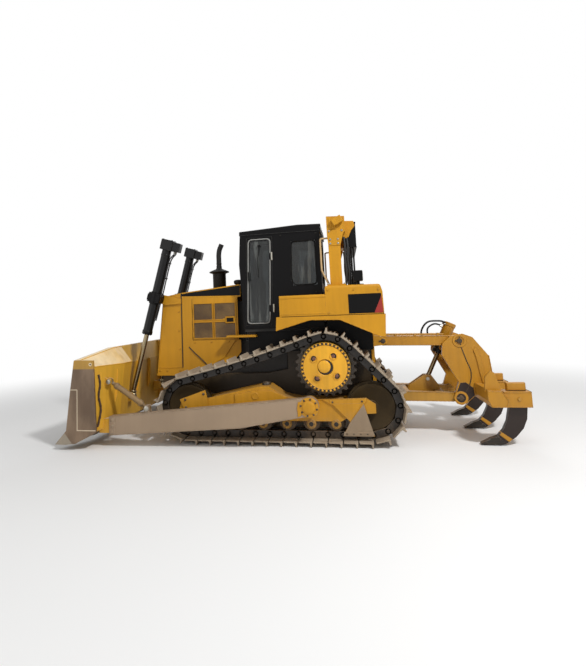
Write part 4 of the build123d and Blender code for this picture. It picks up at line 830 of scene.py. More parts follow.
def pillow(centre, half, tilt, rows=14, cols=28, square=0.34):
    """A closed cushion form: half * (cos^s u cos^.5 v, sin^s u cos^.5 v, sin^.6 v), then tilted."""
    v = np.linspace(-np.pi / 2, np.pi / 2, rows)[1:-1, None]
    u = (np.arange(cols) * 2 * np.pi / cols)[None, :]
    crown = soft(np.cos(v), 0.5)
    p = np.stack([soft(np.cos(u), square) * crown, soft(np.sin(u), square) * crown,
        soft(np.sin(v), 0.6) + 0 * u], 2) * half
    c, s = np.cos(tilt), np.sin(tilt)
    turn = np.array([(c, 0, s), (0, 1, 0), (-s, 0, c)])
    return rings(p @ turn.T + centre)


def points_of(piece):
    """A piece's points, one row each."""
    flat = np.empty(len(piece.data.vertices) * 3)
    piece.data.vertices.foreach_get("co", flat)
    return flat.reshape(-1, 3)


def blow_up(piece, cap, voxel_size=0.014, frames=20):
    """Swell a cushion with cloth pressure, each point moving cap at most, and keep the shape."""
    voxel = piece.modifiers.new("Remesh", "REMESH")
    voxel.mode, voxel.voxel_size = "VOXEL", voxel_size
    scene = bpy.context.scene
    settle(piece)
    start = points_of(piece)
    cloth = piece.modifiers.new("Cloth", "CLOTH")
    cloth.settings.use_pressure, cloth.settings.uniform_pressure_force = True, 4.0
    cloth.settings.effector_weights.gravity = 0.0
    cloth.settings.quality = 4
    for step in range(1, frames + 1):
        scene.frame_set(step)
    settle(piece)
    scene.frame_set(1)
    move = points_of(piece) - start
    far = np.linalg.norm(move, axis=1)[:, None]
    move *= np.minimum(1.0, cap / np.maximum(far, 1e-9))
    piece.data.vertices.foreach_set("co", (start + move).ravel())
    piece.data.update()
    finer = piece.modifiers.new("Subdivision", "SUBSURF")
    finer.levels = finer.render_levels = 1
    settle(piece)
    piece.data.shade_smooth()


def settle(piece):
    """Apply the live modifiers by taking the evaluated mesh, and drop them."""
    graph = bpy.context.evaluated_depsgraph_get()
    worked = bpy.data.meshes.new_from_object(piece.evaluated_get(graph))
    worn = list(piece.data.materials)
    piece.modifiers.clear()
    piece.data = worked
    worked.materials.clear()
    for one in worn:
        worked.materials.append(one)


cushion = build("seat_cushion", pillow(rel(530, 0, 2078), (0.215, 0.235, 0.045), 0.05), seat_cloth,
    slot="seat_fabric")
backrest = build("seat_back", pillow(rel(262, 0, 2460), (0.045, 0.22, 0.30), -0.11), seat_cloth,
    slot="seat_fabric")
for piece in (cushion, backrest):
    blow_up(piece, 0.008)
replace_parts(cushion, "seat")
seat_pan = join(bar((310, 752), (-244, 244), (2021, 2036), 0.004),
    bar((196, 226), (-200, 200), (2135, 2700), 0.006))
build("seat_shell", seat_pan, console_trim, slot="cab_trim")

# console grips: ripper lever, blade stick and the steering tiller, with a small gauge hood
grip_line = [(0.001, 0.0), (0.012, 0.0), (0.015, 0.02), (0.02, 0.05), (0.024, 0.085), (0.024, 0.11),
    (0.018, 0.128), (0.001, 0.132)]
grips = join(*[turned(grip_line, 20, rel(760, y, 2262), (0, 0, 1)) for y in (330, 390, -330, -390)])
build("lever_grips", grips, rubber)
dash = plate(side_line([(1034, 2355), (1126, 2355), (1122, 2400), (1070, 2424), (1040, 2400)]), -0.24,
    0.24, 0.008)
build("gauge_hood", dash, console_trim)

# ---- Rollover frame, condenser, lamps and grab rails -------------------------------------
# The folded rollover frame is bolted to the tank mounts; the cab's condenser hangs behind it
# with its fins to the rear, and bent grab rails run down in front of the posts.
wear("rops", machine_yellow)
wear("condenser lamps", deep_black)
link_tan = coating("brown primed bracket", (140, 98, 40), 0.5, 0.2, 1.4)
rail_beige = coating("worn grab rail", (188, 158, 112), 0.4, 0.1, 1.4, rub=0.9, bare=(206, 190, 160),
    streaks=0.2)
rail_line = spots((-134, 920, 2880), (-80, 920, 2880), (-45, 920, 2879), (-24, 920, 2870),
    (-15, 920, 2848), (-15, 920, 2640), (-15, 920, 2440), (-22, 920, 2400), (-60, 920, 2310),
    (-101, 920, 2216))
rail_foot = turned([(0.001, 0.0), (0.026, 0.0), (0.026, 0.006), (0.018, 0.009), (0.015, 0.02)], 20,
    rel(-101, 920, 2204), (0, 0, 1))
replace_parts(build_pair("grab_rails", join(pipe(rail_line, 0.0135, 14, 5), rail_foot), rail_beige,
    slot="handrail_paint"), "handrails")
fins = join(*[bar((-532.5, -518), (-698, 698), (2782 + 36 * k, 2786 + 36 * k), 0.0008) for k in range(9)])
build("condenser_fins", fins, fitting_zinc)
cond_rim = [bar((-534, -528), (-760, 760), (3108, 3122), 0.002),
    bar((-534, -528), (-760, 760), (2745, 2760), 0.002)]
build("condenser_rims", join(*cond_rim), deep_black)
cond_cheek = side_line([(-345, 3146), (-505, 3136), (-520, 3060), (-462, 2990), (-425, 2900),
    (-345, 2870)])
build_pair("condenser_cheeks", plate(cond_cheek, 0.7605, 0.7705, 0.002), machine_yellow,
    slot="yellow_paint")
post_face = 0.9805
post_gussets = plate(side_line([(-290, 2204), (-140, 2204), (-150, 2240), (-215, 2330), (-280, 2240)]),
    post_face, post_face + 0.008, 0.002)
beam_gussets = plate(side_line([(-300, 2760), (-131, 2760), (-119, 2910), (-119, 2990), (-360, 2990),
    (-360, 2965)]), post_face, post_face + 0.008, 0.002)
build_pair("post_gussets", join(post_gussets, beam_gussets), machine_yellow, slot="yellow_paint")
tilt = np.radians(28)
box_turn = np.array([(np.cos(tilt), 0, np.sin(tilt)), (0, 1, 0), (-np.sin(tilt), 0, np.cos(tilt))])
work_lamp = plate([(-0.075, -0.05), (0.075, -0.05), (0.075, 0.05), (-0.075, 0.05)], -0.03, 0.03, 0.006)
lamp_box = (work_lamp[0] @ box_turn.T + rel(-270, 1025, 3112), work_lamp[1])
lamp_arm = plate(side_line([(-150, 3160), (-250, 3160), (-262, 3050), (-200, 3010), (-150, 3060)]),
    post_face, post_face + 0.01, 0.003)
build_pair("work_lamps", join(lamp_box, lamp_arm), machine_yellow, slot="yellow_paint", smooth=30)
brown_gusset = plate(side_line([(-302, 2955), (-372, 2955), (-338, 3062)]), 0.962, 0.9795, 0.002)
build_pair("hose_gussets", brown_gusset, link_tan, slot="dusty_paint")
post_bolts = [rel(x, 990, 2203) for x in (-330, -100)] + [rel(x, 820, 2203) for x in (-330, -100)]
beam_bolts = [rel(x, 988.5, z) for x, z in ((-270, 2790), (-160, 2790), (-270, 2850), (-160, 2850),
    (-330, 2972), (-150, 2972))]
build_pair("frame_heads", join(repeated(bolt(0.018, 0.018), post_bolts),
    repeated(bolt(0.012, 0.01), beam_bolts, out_frame)), fitting_zinc)
rear_hoses = join(pipe(spots((-350, 930, 2880), (-362, 940, 2760), (-356, 936, 2560), (-366, 930, 2380),
    (-352, 920, 2206)), 0.017), pipe(spots((-394, 935, 2860), (-402, 946, 2740), (-392, 940, 2540),
    (-404, 934, 2360), (-392, 922, 2204)), 0.013))
build_pair("rear_hoses", rear_hoses, rubber)
lens_face = bar((-586, -579), (862, 978), (2248, 2372), 0.004)
lamp_lens = coating("lamp lens, dusty", (176, 172, 160), 0.16, 0.16, 1.6, rub=0.1, streaks=0.3)
build_pair("lamp_lenses", lens_face, lamp_lens)

# ---- Blade -------------------------------------------------------------------------------
# A semi-U moldboard of rolled plate on a box back, closed by flame-cut end plates and shod
# with bolt-on edges. The face is scoured bright by soil and the back keeps its yellow.
# painted light: a brighter copy of the machine yellow, raised for the sunlit back of the blade; the ribs
# and welds wear it too
blade_yellow_sunlit = coating("blade yellow, painted sunlight", (236, 178, 54), 0.45, 0.22, 1.9, streaks=0.4, rub=0.9,
    bare=(170, 148, 118))
scoured = coating("scoured moldboard", (150, 132, 108), 0.34, 0.3, 1.9, rub=0.8, bare=(200, 190, 172),
    streaks=0.8, metal=0.45, soil=(140, 116, 90))
edge_metal = coating("cutting edge steel", (142, 132, 118), 0.32, 0.24, 0.8, rub=1.0,
    bare=(206, 200, 190), metal=0.6, soil=(120, 100, 78), streaks=0.4)
wear("cutting_edge", edge_metal)

# the blade's own finish: yellow back, dust and painted sunlight paling its upward faces, and scoured
# brown end plates with a yellow band above, a pale L of ground weld, a painted hole (a near-black disc
# for the shade inside it, in a pale ring), and bright steel at the tip
blade_finish = blade_yellow_sunlit.copy()
blade_finish.name = "blade finish by zone"
tree = blade_finish.node_tree
tone_in = next(n for n in tree.nodes if n.type == "GROUP" and n.node_tree == tone_group).inputs["Colour"]
x_at, y_at, z_at = grow(tree, "SeparateXYZ", in0=grow(tree, "TexCoord").outputs["Object"]).outputs
facing = grow(tree, "SeparateXYZ", in0=grow(tree, "NewGeometry").outputs["Normal"]).outputs[2]


def within(tree, value, low, high):
    """One where low < value < high, else zero."""
    above_low = sum_of(tree, "GREATER_THAN", value, low)
    return sum_of(tree, "MULTIPLY", above_low, sum_of(tree, "LESS_THAN", value, high))


def stroke(tree, across, centre, along, low, high, half=0.006):
    """A straight mark: within half of centre one way and between low and high the other."""
    return sum_of(tree, "MULTIPLY", within(tree, across, centre - half, centre + half),
        within(tree, along, low, high))


end_zone = sum_of(tree, "GREATER_THAN", sum_of(tree, "ABSOLUTE", y_at), 1.5995)
scour_tone = blend(tree, ramp(tree, cloud(tree, 2.6, 6, (1, 1, 0.4)), 0.35, 0.65), paint_code(98, 76, 56),
    paint_code(138, 114, 90))
marks = [stroke(tree, x_at, 2.865, z_at, 0.280, 0.846), stroke(tree, z_at, 0.280, x_at, 2.58, 2.871),
    stroke(tree, z_at, 0.843, x_at, 2.865, 2.98)]
weld_mark = sum_of(tree, "MAXIMUM", sum_of(tree, "MAXIMUM", marks[0], marks[1]), marks[2])
end_tone = blend(tree, weld_mark, scour_tone, paint_code(214, 196, 168))
end_tone = blend(tree, ramp(tree, z_at, 1.125, 1.14), end_tone, paint_code(176, 134, 52))
# painted shade: a near-black disc stands for the shade inside a hole in the end plate, with a pale ring
# round it
hole_off = grow(tree, "VectorMath", {"operation": "DISTANCE"}, in0=grow(tree, "CombineXYZ", in0=x_at,
    in2=z_at).outputs[0], in1=(2.655, 0.0, 1.197)).outputs["Value"]
end_tone = blend(tree, within(tree, hole_off, 0.012, 0.024), end_tone, paint_code(226, 206, 170))
end_tone = blend(tree, sum_of(tree, "LESS_THAN", hole_off, 0.012), end_tone, paint_code(40, 30, 20))
past_tip = sum_of(tree, "SUBTRACT", sum_of(tree, "MULTIPLY", sum_of(tree, "SUBTRACT", x_at, 3.04), 0.783),
    sum_of(tree, "MULTIPLY", sum_of(tree, "SUBTRACT", z_at, 0.272), 0.624))
end_tone = blend(tree, ramp(tree, past_tip, 0.03, 0.045), end_tone, paint_code(158, 146, 128))
# painted light and dust: upward faces pale towards cream, broken by noise, for the sunlit top of the
# blade and the dust on it
top_light_and_dust = sum_of(tree, "MULTIPLY", ramp(tree, facing, 0.25, 0.8),
    ramp(tree, cloud(tree, 5.0, 6), 0.2, 0.5, 0.45, 0.95))
back_tone = blend(tree, top_light_and_dust, paint_code(214, 162, 50), paint_code(244, 220, 176))
tree.links.new(blend(tree, end_zone, back_tone, end_tone), tone_in)
wear("blade", blade_finish)


def arc_through(a, b, c, count):
    """Points on the circle through three points: centre + radius (cos t, sin t)."""
    a, b, c = (np.asarray(v, float) for v in (a, b, c))
    m = 2 * np.array([b - a, c - a])
    centre = np.linalg.solve(m, [b @ b - a @ a, c @ c - a @ a])
    first, last = a - centre, c - centre
    start = np.arctan2(first[1], first[0]) % (2 * np.pi)
    end = np.arctan2(last[1], last[0]) % (2 * np.pi)
    t = np.linspace(start, end, count)
    return centre + np.hypot(*first) * np.stack([np.cos(t), np.sin(t)], 1)


# moldboard skin: arcs at five stations across, straight between, three millimetres proud
at_bend = arc_through((3300, 1390), (3236, 800), (3405, 272), 29)
at_tip = arc_through((3540, 1257), (3478, 760), (3645, 272), 29)
face_rows = []
for y, line in ((-1599, at_tip), (-1050, at_bend), (-350, at_bend), (350, at_bend), (1050, at_bend),
    (1599, at_tip)):
    face_rows.append(np.stack([line[:, 0] / 1000 + axle_x + 0.006, np.full(29, y / 1000),
        line[:, 1] / 1000], 1))
face_rows = np.array(face_rows)
back_rows = face_rows - (0.005, 0, 0)
skin = rings(np.concatenate([face_rows, back_rows[:, ::-1]], 1))
build("moldboard_skin", skin, scoured, "blade_assembly", slot="dusty_paint", smooth=50)

# back of the blade: stiffening ribs and the weld seams between the box plates
ribs = []
for y, back_x in ((240, 3148), (760, 3148), (1180, 3076), (1480, 3190)):
    rib = side_line([(back_x + 20, 1108), (back_x, 1060), (back_x + 16, 700), (back_x + 50, 600),
        (back_x + 72, 600), (back_x + 72, 1108)])
    ribs.append(plate(rib, y / 1000 - 0.009, y / 1000 + 0.009, 0.002))
build_pair("blade_ribs", join(*ribs), blade_yellow_sunlit, "blade_assembly", slot="yellow_paint")
top_line = bead(spots((3204, 810, 1391), (3206, 1048, 1391), (3446, 1596, 1259)), 0.006, 0.02)
mid_line = bead(spots((3026, 805, 1152), (3027, 1048, 1152), (3234, 1596, 1161)), 0.006, 0.02)
low_line = bead(spots((3122, 805, 302), (3123, 1048, 302), (3224, 1596, 258)), 0.006, 0.02)
corner = bead(spots((3234, 1597, 1158), (3226, 1597, 700), (3224, 1597, 262)), 0.006, 0.02)
build_pair("blade_welds", join(top_line, mid_line, low_line, corner), blade_yellow_sunlit, "blade_assembly")
packed_soil = coating("soil packed in a corner", (70, 50, 34), 0.8, 0.2, 1.6, rub=0.2, bump=0.9,
    grip=0.012)
soil_path = smooth_path(spots((3206, 1532, 1040), (3194, 1508, 900), (3203, 1536, 740), (3188, 1500, 560),
    (3196, 1540, 400), (3204, 1574, 320)))
soil_line = bead(soil_path, 0.016, 0.03)
build_pair("corner_soil", soil_line, packed_soil, "blade_assembly")


def basis(axis, aside):
    """A frame whose third column is axis and whose first lies square to it, near aside."""
    z = np.asarray(axis, float) / np.linalg.norm(axis)
    x = np.asarray(aside, float) - z * np.dot(aside, z)
    x /= np.linalg.norm(x)
    return np.stack([x, np.cross(z, x), z], 1)


edge_bolt_y = np.arange(-1550, 1551, 155)
bend_share = np.clip((np.abs(edge_bolt_y) - 1050) / 550, 0, 1)
edge_bolts = []
for share_z in (0.25, 0.55):
    x = 3405 + 240 * bend_share + 195 * share_z + 4
    edge_bolts.append(np.stack([x / 1000 + axle_x, edge_bolt_y / 1000,
        np.full(len(x), (272 - 192 * share_z) / 1000)], 1))
face_frame = basis((0.70, 0, 0.71), (0, 1, 0))
# edge bolts in the painted hole shade
build("edge_bolts", repeated(bolt(0.017, 0.006), np.concatenate(edge_bolts), face_frame), hole_shade_dark,
    "blade_assembly")

# ---- Push arms and blade braces ----------------------------------------------------------
# Long box arms from the track-frame trunnions to the blade's lower corners. Soil has worn
# them to bare grey-brown plate. A screw brace sets the blade's pitch on the machine's left.
arm_brown = coating("worn push arm", (152, 130, 106), 0.42, 0.2, 1.3, rub=0.8, bare=(200, 184, 158),
    streaks=0.12, soil=(140, 118, 94))
wear("push_arms", arm_brown)
brace_steel = coating("brace steel", (134, 108, 72), 0.4, 0.28, 1.6, rub=0.8, bare=(176, 168, 152),
    metal=0.3)
wear("blade_braces", brace_steel)
arm_face = 1.43
ring_profile = [(0.064, 0.0), (0.064, 0.010), (0.070, 0.014), (0.118, 0.014), (0.128, 0.008), (0.13, 0.0)]
trunnion_ring = turned(ring_profile, 40, rel(231, 1430, 572))
cap = turned([(0.001, 0.032), (0.05, 0.031), (0.072, 0.026), (0.086, 0.018), (0.0875, 0.004)], 40,
    rel(231, 1436, 572))
ring_bolts = ring_of(8, 0.108, 1.443, rel(231, 0, 572)[[0, 2]], first=12)
build_pair("trunnion_rings", trunnion_ring, frame_yellow, "blade_assembly", slot="yellow_paint")
build_pair("trunnion_caps", cap, frame_yellow, slot="yellow_paint")
build_pair("trunnion_bolts", repeated(bolt(0.011, 0.010), ring_bolts, out_frame), wheel_oil,
    "blade_assembly")
rear_plate = plate(side_line([(300, 648), (372, 644), (386, 560), (380, 450), (340, 462), (318, 520)]),
    arm_face, arm_face + 0.012, 0.003)
build_pair("arm_doublers", rear_plate, frame_yellow, "blade_assembly", slot="yellow_paint")
arm_top = [(3094, 429), (384, 672)]
arm_foot = [(398, 436), (1172, 297), (3094, 175)]
arm_welds = join(*[bead([rel(x, 1431, z) for x, z in line], 0.004, 0.02) for line in (arm_top, arm_foot)])
build_pair("arm_welds", arm_welds, arm_brown, "blade_assembly")
arm_heel = plate(side_line([(3002, 430), (3096, 424), (3096, 180), (3012, 186)]), arm_face,
    arm_face + 0.008, 0.002)
arm_heel_bolts = repeated(bolt(0.016, 0.014), [rel(x, 1438, z) for x, z in ((3050, 390), (3052, 305),
    (3054, 220))], out_frame)
build_pair("arm_heels", join(arm_heel, arm_heel_bolts), arm_brown, "blade_assembly")
pin_head = turned([(0.001, 0.014), (0.03, 0.014), (0.036, 0.010), (0.037, 0.0), (0.001, 0.0)])
brace_pins = repeated(pin_head, spots((2527, 1370 + 53, 545), (3108, 1370 + 56, 925)))
build_pair("brace_pins", brace_pins, fitting_zinc, "blade_assembly", slot="worn_steel")

# the screw brace's turned body and thread, and the tilt cylinder on the other side
brace_y = 1.37
low_end, high_end = rel(2527, 0, 545), rel(3108, 0, 925)
run = high_end - low_end
reach = float(np.linalg.norm(run))
run /= reach
thread_at = np.arange(0.048, 0.092, 0.0022)
thread = [(0.0235 + 0.0022 * (k % 2), d) for k, d in enumerate(thread_at)]
brace_profile = [*thread, (0.036, 0.093), (0.0405, 0.10), (0.0405, reach - 0.10), (0.036, reach - 0.093),
    *[(0.0235 + 0.0022 * (k % 2), reach - d) for k, d in enumerate(thread_at[::-1])]]
screw = turned(brace_profile, 24, low_end + (0, brace_y, 0), run)
lugs = [turned([(0.0405, -0.02), (0.048, -0.017), (0.048, 0.017), (0.0405, 0.02)], 24,
    low_end + (0, brace_y, 0) + run * d, run) for d in (0.13, reach - 0.13)]
build("screw_brace", join(screw, *lugs), brace_steel, "blade_assembly", smooth=30)
tilt_profile = [(0.058, 0.092), (0.0605, 0.096), (0.0605, 0.13), (0.0585, 0.134), (0.0585, 0.385),
    (0.063, 0.39), (0.063, 0.432), (0.035, 0.434)]
tilt = turned(tilt_profile, 32, low_end + (0, -brace_y, 0), run)
tilt_rod = turned([(0.0325, 0.434), (0.0328, reach - 0.082)], 24, low_end + (0, -brace_y, 0), run)
# painted shade: the chrome is tinted a dull dark brown, partly dust and partly the shade the rods lie in
chrome_dust_and_shade = coating("chromed rod, dust and painted shade", (150, 136, 108), 0.26, 0.22, 1.6, rub=0.1, streaks=0.2,
    metal=1.0, bump=0.05)
build("tilt_cylinder", tilt, deep_black, "blade_assembly", slot="black_paint")
build("tilt_rod", tilt_rod, chrome_dust_and_shade, "blade_assembly", slot="chrome")

# ---- Lift cylinders ----------------------------------------------------------------------
# Two trunnion-mounted cylinders stand over the guard, swung in bolted yokes. Their heads
# carry cast valve blocks, and pairs of formed black lines run down beside the barrels.
cylinder_grey = coating("cylinder paint, dark", (12, 11, 11), 0.38, 0.1, 2.0, rub=0.7,
    bare=(130, 124, 112), bump=0.2, gloss=0.25)
lift_y = 0.6
foot_eye, head_yoke = rel(3125, 0, 585), rel(2690, 0, 2140)
lift_run = head_yoke - foot_eye
lift_reach = float(np.linalg.norm(lift_run))
lift_run /= lift_reach
side_frame = np.stack([(0, 1, 0), np.cross(lift_run, (0, 1, 0)), lift_run], 1)


def standing(shell, y, along_run):
    """A shell drawn upright on the z axis, set on a lift cylinder's line at a distance along it."""
    p, f = shell
    return p @ side_frame.T + foot_eye + lift_run * along_run + (0, y, 0), f


low, high = lift_reach - 0.6, lift_reach + 0.8
barrel_profile = [(0.0385, 0.0), (0.078, 0.0), (0.083, 0.006), (0.083, 0.056), (0.0765, 0.062),
    (0.0755, 0.07), (0.0755, 1.30), (0.079, 1.304), (0.079, 1.33), (0.0755, 1.334), (0.0755, 1.398),
    (0.001, 1.4)]
gland_angles = np.radians(np.arange(8) * 45)
gland_screws = repeated(turned([(0.007, -0.008), (0.007, 0.0), (0.001, 0.0)], 8, axis=(0, 0, 1)),
    np.stack([0.062 * np.cos(gland_angles), 0.062 * np.sin(gland_angles), np.zeros(8) - 0.0005], 1))


def cube(x, y, z, chamfer=0.004):
    """A chamfered block from three (low, high) pairs in metres, about its own axes."""
    return plate([(x[0], z[0]), (x[1], z[0]), (x[1], z[1]), (x[0], z[1])], y[0], y[1], chamfer)


clamp_block = join(cube((-0.086, 0.086), (-0.102, 0.102), (-0.072, 0.072), 0.006),
    *[cube((-0.088, 0.088), (y - 0.004, y + 0.004), (-0.05, 0.05), 0.001) for y in (-0.108, 0.108)])
clamp_heads = repeated(bolt(0.014, 0.013), [(x, y, 0.07) for x in (-0.068, 0.068)
    for y in (-0.086, 0.086)])
collar_ring = turned([(0.0765, -0.10), (0.09, -0.094), (0.09, 0.094), (0.0765, 0.10)], 32, axis=(0, 0, 1))
top_block = join(cube((-0.091, 0.091), (-0.101, 0.101), (0.0, 0.169), 0.008),
    cube((-0.07, 0.07), (0.1, 0.225), (0.002, 0.149), 0.008), cube((-0.05, 0.05), (0.224, 0.226),
    (0.03, 0.12), 0.001), repeated(bolt(0.012, 0.010), [(x, y, 0.167) for x in (-0.065, 0.065)
    for y in (-0.075, 0.075)]))
for hand, s in hands:
    rides = f"lift_barrel_{hand}"
    y = lift_y * s
    body_shell = join(standing(turned(barrel_profile, 36, axis=(0, 0, 1)), y, low),
        standing(gland_screws, y, low))
    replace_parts(build(f"lift_body_{hand}", body_shell, cylinder_grey, rides, slot="black_paint"), rides)
    build(f"lift_yoke_{hand}", join(standing(clamp_block, y, lift_reach),
        standing(clamp_heads, y, lift_reach), standing(collar_ring, y, lift_reach)), deep_black, rides,
        slot="black_paint", smooth=30)
    build(f"lift_head_{hand}", standing(top_block, y, high - 0.001), cylinder_grey, rides,
        slot="black_paint", smooth=30)
    lines, nuts, run_y = [], [], 0.094
    for k, aside_x in enumerate((-0.034, 0.034)):
        lines.append(pipe([(aside_x, 0.15, high - low + 0.012), (aside_x, 0.150, high - low - 0.04),
            (aside_x, run_y + 0.02, high - low - 0.10), (aside_x, run_y, high - low - 0.2),
            (aside_x, run_y, 0.9 - 0.3 * k), (aside_x * 1.1, run_y, 0.7 - 0.3 * k),
            (aside_x * 1.1, run_y - 0.012, 0.14 + 0.1 * (1 - k))], 0.0105, 12, 6))
        nuts.append(turned([(0.0125, -0.022), (0.0165, -0.02), (0.0165, 0.0), (0.0135, 0.004),
            (0.0135, 0.018), (0.0105, 0.02)], 6, (aside_x, 0.15, high - low - 0.012), (0, 0, 1)))
    build(f"lift_lines_{hand}", standing(join(*lines), y, low), rubber, rides)
    build(f"lift_nuts_{hand}", standing(join(*nuts), y, low), fitting_zinc, rides)
    clips = [cube((-0.052, 0.052), (0.074, 0.108), (z - 0.012, z + 0.012), 0.003)
        for z in (0.55, 0.95, 1.2)]
    build(f"lift_clips_{hand}", standing(join(*clips), y, low), deep_black, rides)
    rod_profile = [(0.046, 0.05), (0.05, 0.06), (0.05, 0.085), (0.0385, 0.095), (0.0382, 1.45),
        (0.0382, 1.454), (0.0545, 1.456), (0.0545, 1.488), (0.001, 1.49)]
    rod_shell = standing(turned(rod_profile, 32, axis=(0, 0, 1)), y, 0)
    eye_profile = [(0.0335, -0.038), (0.056, -0.038), (0.062, -0.032), (0.062, 0.032), (0.056, 0.038),
        (0.0335, 0.038)]
    eye_shell = turned([(max(r, 0.046), d) for r, d in eye_profile], 36, foot_eye + (0, y, 0),
        closed=True)
    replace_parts(build(f"lift_rod_{hand}_turned", join(rod_shell, eye_shell), chrome_dust_and_shade,
        f"lift_rod_{hand}", slot="chrome"), f"lift_rod_{hand}")

# ---- Ripper ------------------------------------------------------------------------------
# A parallelogram hung on the rear case: two links each side, cheek plates with a box beam
# across, and three forged shanks in welded pockets. Ground work has bared the shanks.
ripper_yellow = coating("ripper yellow", (180, 126, 22), 0.42, 0.1, 2.2, streaks=0.4, rub=0.8,
    bare=(120, 104, 80))
link_ochre = coating("ripper link, oily ochre", (178, 130, 40), 0.45, 0.24, 2.2, rub=0.7, streaks=0.5)
shank_brown = coating("shank forging", (42, 30, 24), 0.42, 0.14, 1.1, rub=0.9, bare=(168, 156, 142),
    metal=0.25, soil=(122, 100, 80))
tip_grey = coating("ripper tip steel", (62, 57, 52), 0.3, 0.18, 0.5, rub=1.0, bare=(190, 186, 178),
    metal=0.7, soil=(112, 96, 78))
wear("ripper_mount", frame_yellow)
wear("ripper_upper_links ripper_frame", ripper_yellow)
wear("ripper_lower_link", link_ochre)
wear("ripper_shanks", shank_brown)
wear("ripper_tips", tip_grey)
shank_ys, cheek_face = (900, 0, -900), 0.468
low_front, low_rear, top_rear, top_front = (-800, 545), (-1853, 525), (-1890, 1330), (-837, 1350)


def pin_cap(radius, y, x, z):
    """A pin's domed head with its keeper plate and one bolt, standing out along +y."""
    head = turned([(0.001, 0.006), (radius * 0.6, 0.006), (radius * 0.85, 0.004), (radius, -0.004)], 28,
        rel(x, y, z))
    keeper = plate(side_line([(x + 12, z - 10), (x + 58, z - 10), (x + 64, z), (x + 58, z + 10),
        (x + 12, z + 10)]), (y - 10) / 1000, (y + 2) / 1000, 0.002)
    return join(head, keeper, repeated(bolt(0.008, 0.007), [rel(x + 50, y + 1, z)], out_frame))


rear_caps = join(*[pin_cap(0.037, 483, x, z) for x, z in (low_rear, top_rear)])
build_pair("ripper_pin_caps", rear_caps, wheel_oil, "ripper_frame", slot="undercarriage_steel", smooth=30)
front_caps = join(*[pin_cap(0.037, 457, x, z) for x, z in (low_front, top_front)])
build_pair("mount_pin_caps", front_caps, wheel_oil, slot="undercarriage_steel", smooth=30)
cheek_weld = bead([rel(x, 468, z) for x, z in [(-2262, 1118), (-2286, 882), (-2262, 650)]], 0.007, 0.02)
cheek_gap = pipe([rel(x, 469, z) for x, z in [(-1890, 1404), (-1905, 1260), (-1960, 1060), (-2010, 900),
    (-1990, 740), (-1912, 590)]], 0.007)
build_pair("cheek_gaps", cheek_gap, wheel_oil, "ripper_frame")
rib = plate(side_line([(-2100, 1240), (-2150, 1120), (-2180, 900), (-2200, 740), (-2150, 740),
    (-2120, 900), (-2090, 1100), (-2060, 1200)]), cheek_face, cheek_face + 0.016, 0.003)
boss_ring = join(*[turned([(0.062, 0.0), (0.092, 0.0), (0.096, 0.004), (0.092, 0.010), (0.062, 0.010)],
    36, rel(x, 468, z), closed=True) for x, z in (top_rear, low_rear)])
build_pair("cheek_trim", join(cheek_weld, rib, boss_ring), ripper_yellow, "ripper_frame",
    slot="yellow_paint", smooth=35)
link_weld = [bead(spots((a, 406, b), (c, 406, d)), 0.005, 0.02) for a, b, c, d in ((-910, 1412, -1810,
    1396), (-910, 1286, -1810, 1270))]
build_pair("link_welds", join(*link_weld), ripper_yellow, "ripper_upper_links")
upper_pipe = pipe(spots((-880, 372, 1432), (-1000, 374, 1440), (-1200, 372, 1436), (-1500, 370, 1428),
    (-1700, 366, 1424)), 0.012)
pipe_clips = join(*[bar((x - 12, x + 12), (352, 392), (1408, 1448), 0.003)
    for x in (-1020, -1300, -1620)])
build("link_pipes", join(upper_pipe, pipe_clips), link_ochre, "ripper_upper_links", smooth=30)
low_welds = [bead(spots((a, 406, b), (c, 406, d)), 0.005, 0.02) for a, b, c, d in ((-880, 612, -1780,
    587), (-880, 478, -1780, 467))]
build_pair("lower_welds", join(*low_welds), link_ochre, "ripper_lower_link")

# beam: pocket rims, a pin through each pocket, and the weld seams
pocket_rims, pocket_pins = [], []
for y in shank_ys:
    for z in (507, 693):
        pocket_rims.append(join(bar((-2588, -2262), (y - 112, y - 98), (z - 7, z + 7), 0.003),
            bar((-2588, -2262), (y + 98, y + 112), (z - 7, z + 7), 0.003),
            bar((-2590, -2578), (y - 112, y + 112), (z - 7, z + 7), 0.003)))
    for s in (-1, 1):
        pocket_pins.append(turned([(0.001, s * 0.016), (0.018, s * 0.016), (0.022, s * 0.012),
            (0.023, 0.0)], 24, rel(-2440, y + s * 105, 604)))
build("pocket_rims", join(*pocket_rims), ripper_yellow, "ripper_frame", slot="yellow_paint")
build("pocket_pins", join(*pocket_pins), link_ochre, "ripper_frame", slot="undercarriage_steel")
beam_welds = [bead(spots((-2048, y0, 733), (-2048, y1, 733)), 0.006, 0.02)
    for y0, y1 in ((-1096, -480), (480, 1096))]
beam_seams = [bead([rel(x, 1101, z) for x, z in ((-2046, 724), (-2212, 719), (-2284, 600), (-2258, 521),
    (-2090, 521), (-2046, 600), (-2046, 724))], 0.005, 0.02)]
build("beam_welds", join(*beam_welds, mirrored(join(*beam_seams))), ripper_yellow, "ripper_frame")

# raised gussets at the beam's ends, and a dark plate over each lower pivot, painted shade for the shadow
# there
gusset = side_line([(-2028, 700), (-2046, 900), (-2110, 968), (-2158, 952), (-2228, 728), (-2150, 690)])
build_pair("beam_gussets", plate(gusset, 1.0, 1.032, 0.004), ripper_yellow, "ripper_frame",
    slot="yellow_paint")
pivot_shade_outline = side_line([(-1806, 452), (-1922, 462), (-2036, 562), (-2024, 668), (-1930, 742), (-1858, 736),
    (-1786, 566)])
build_pair("pivot_shade_plates", plate(pivot_shade_outline, 0.4685, 0.4745, 0.002), shank_brown, "ripper_frame", smooth=30)

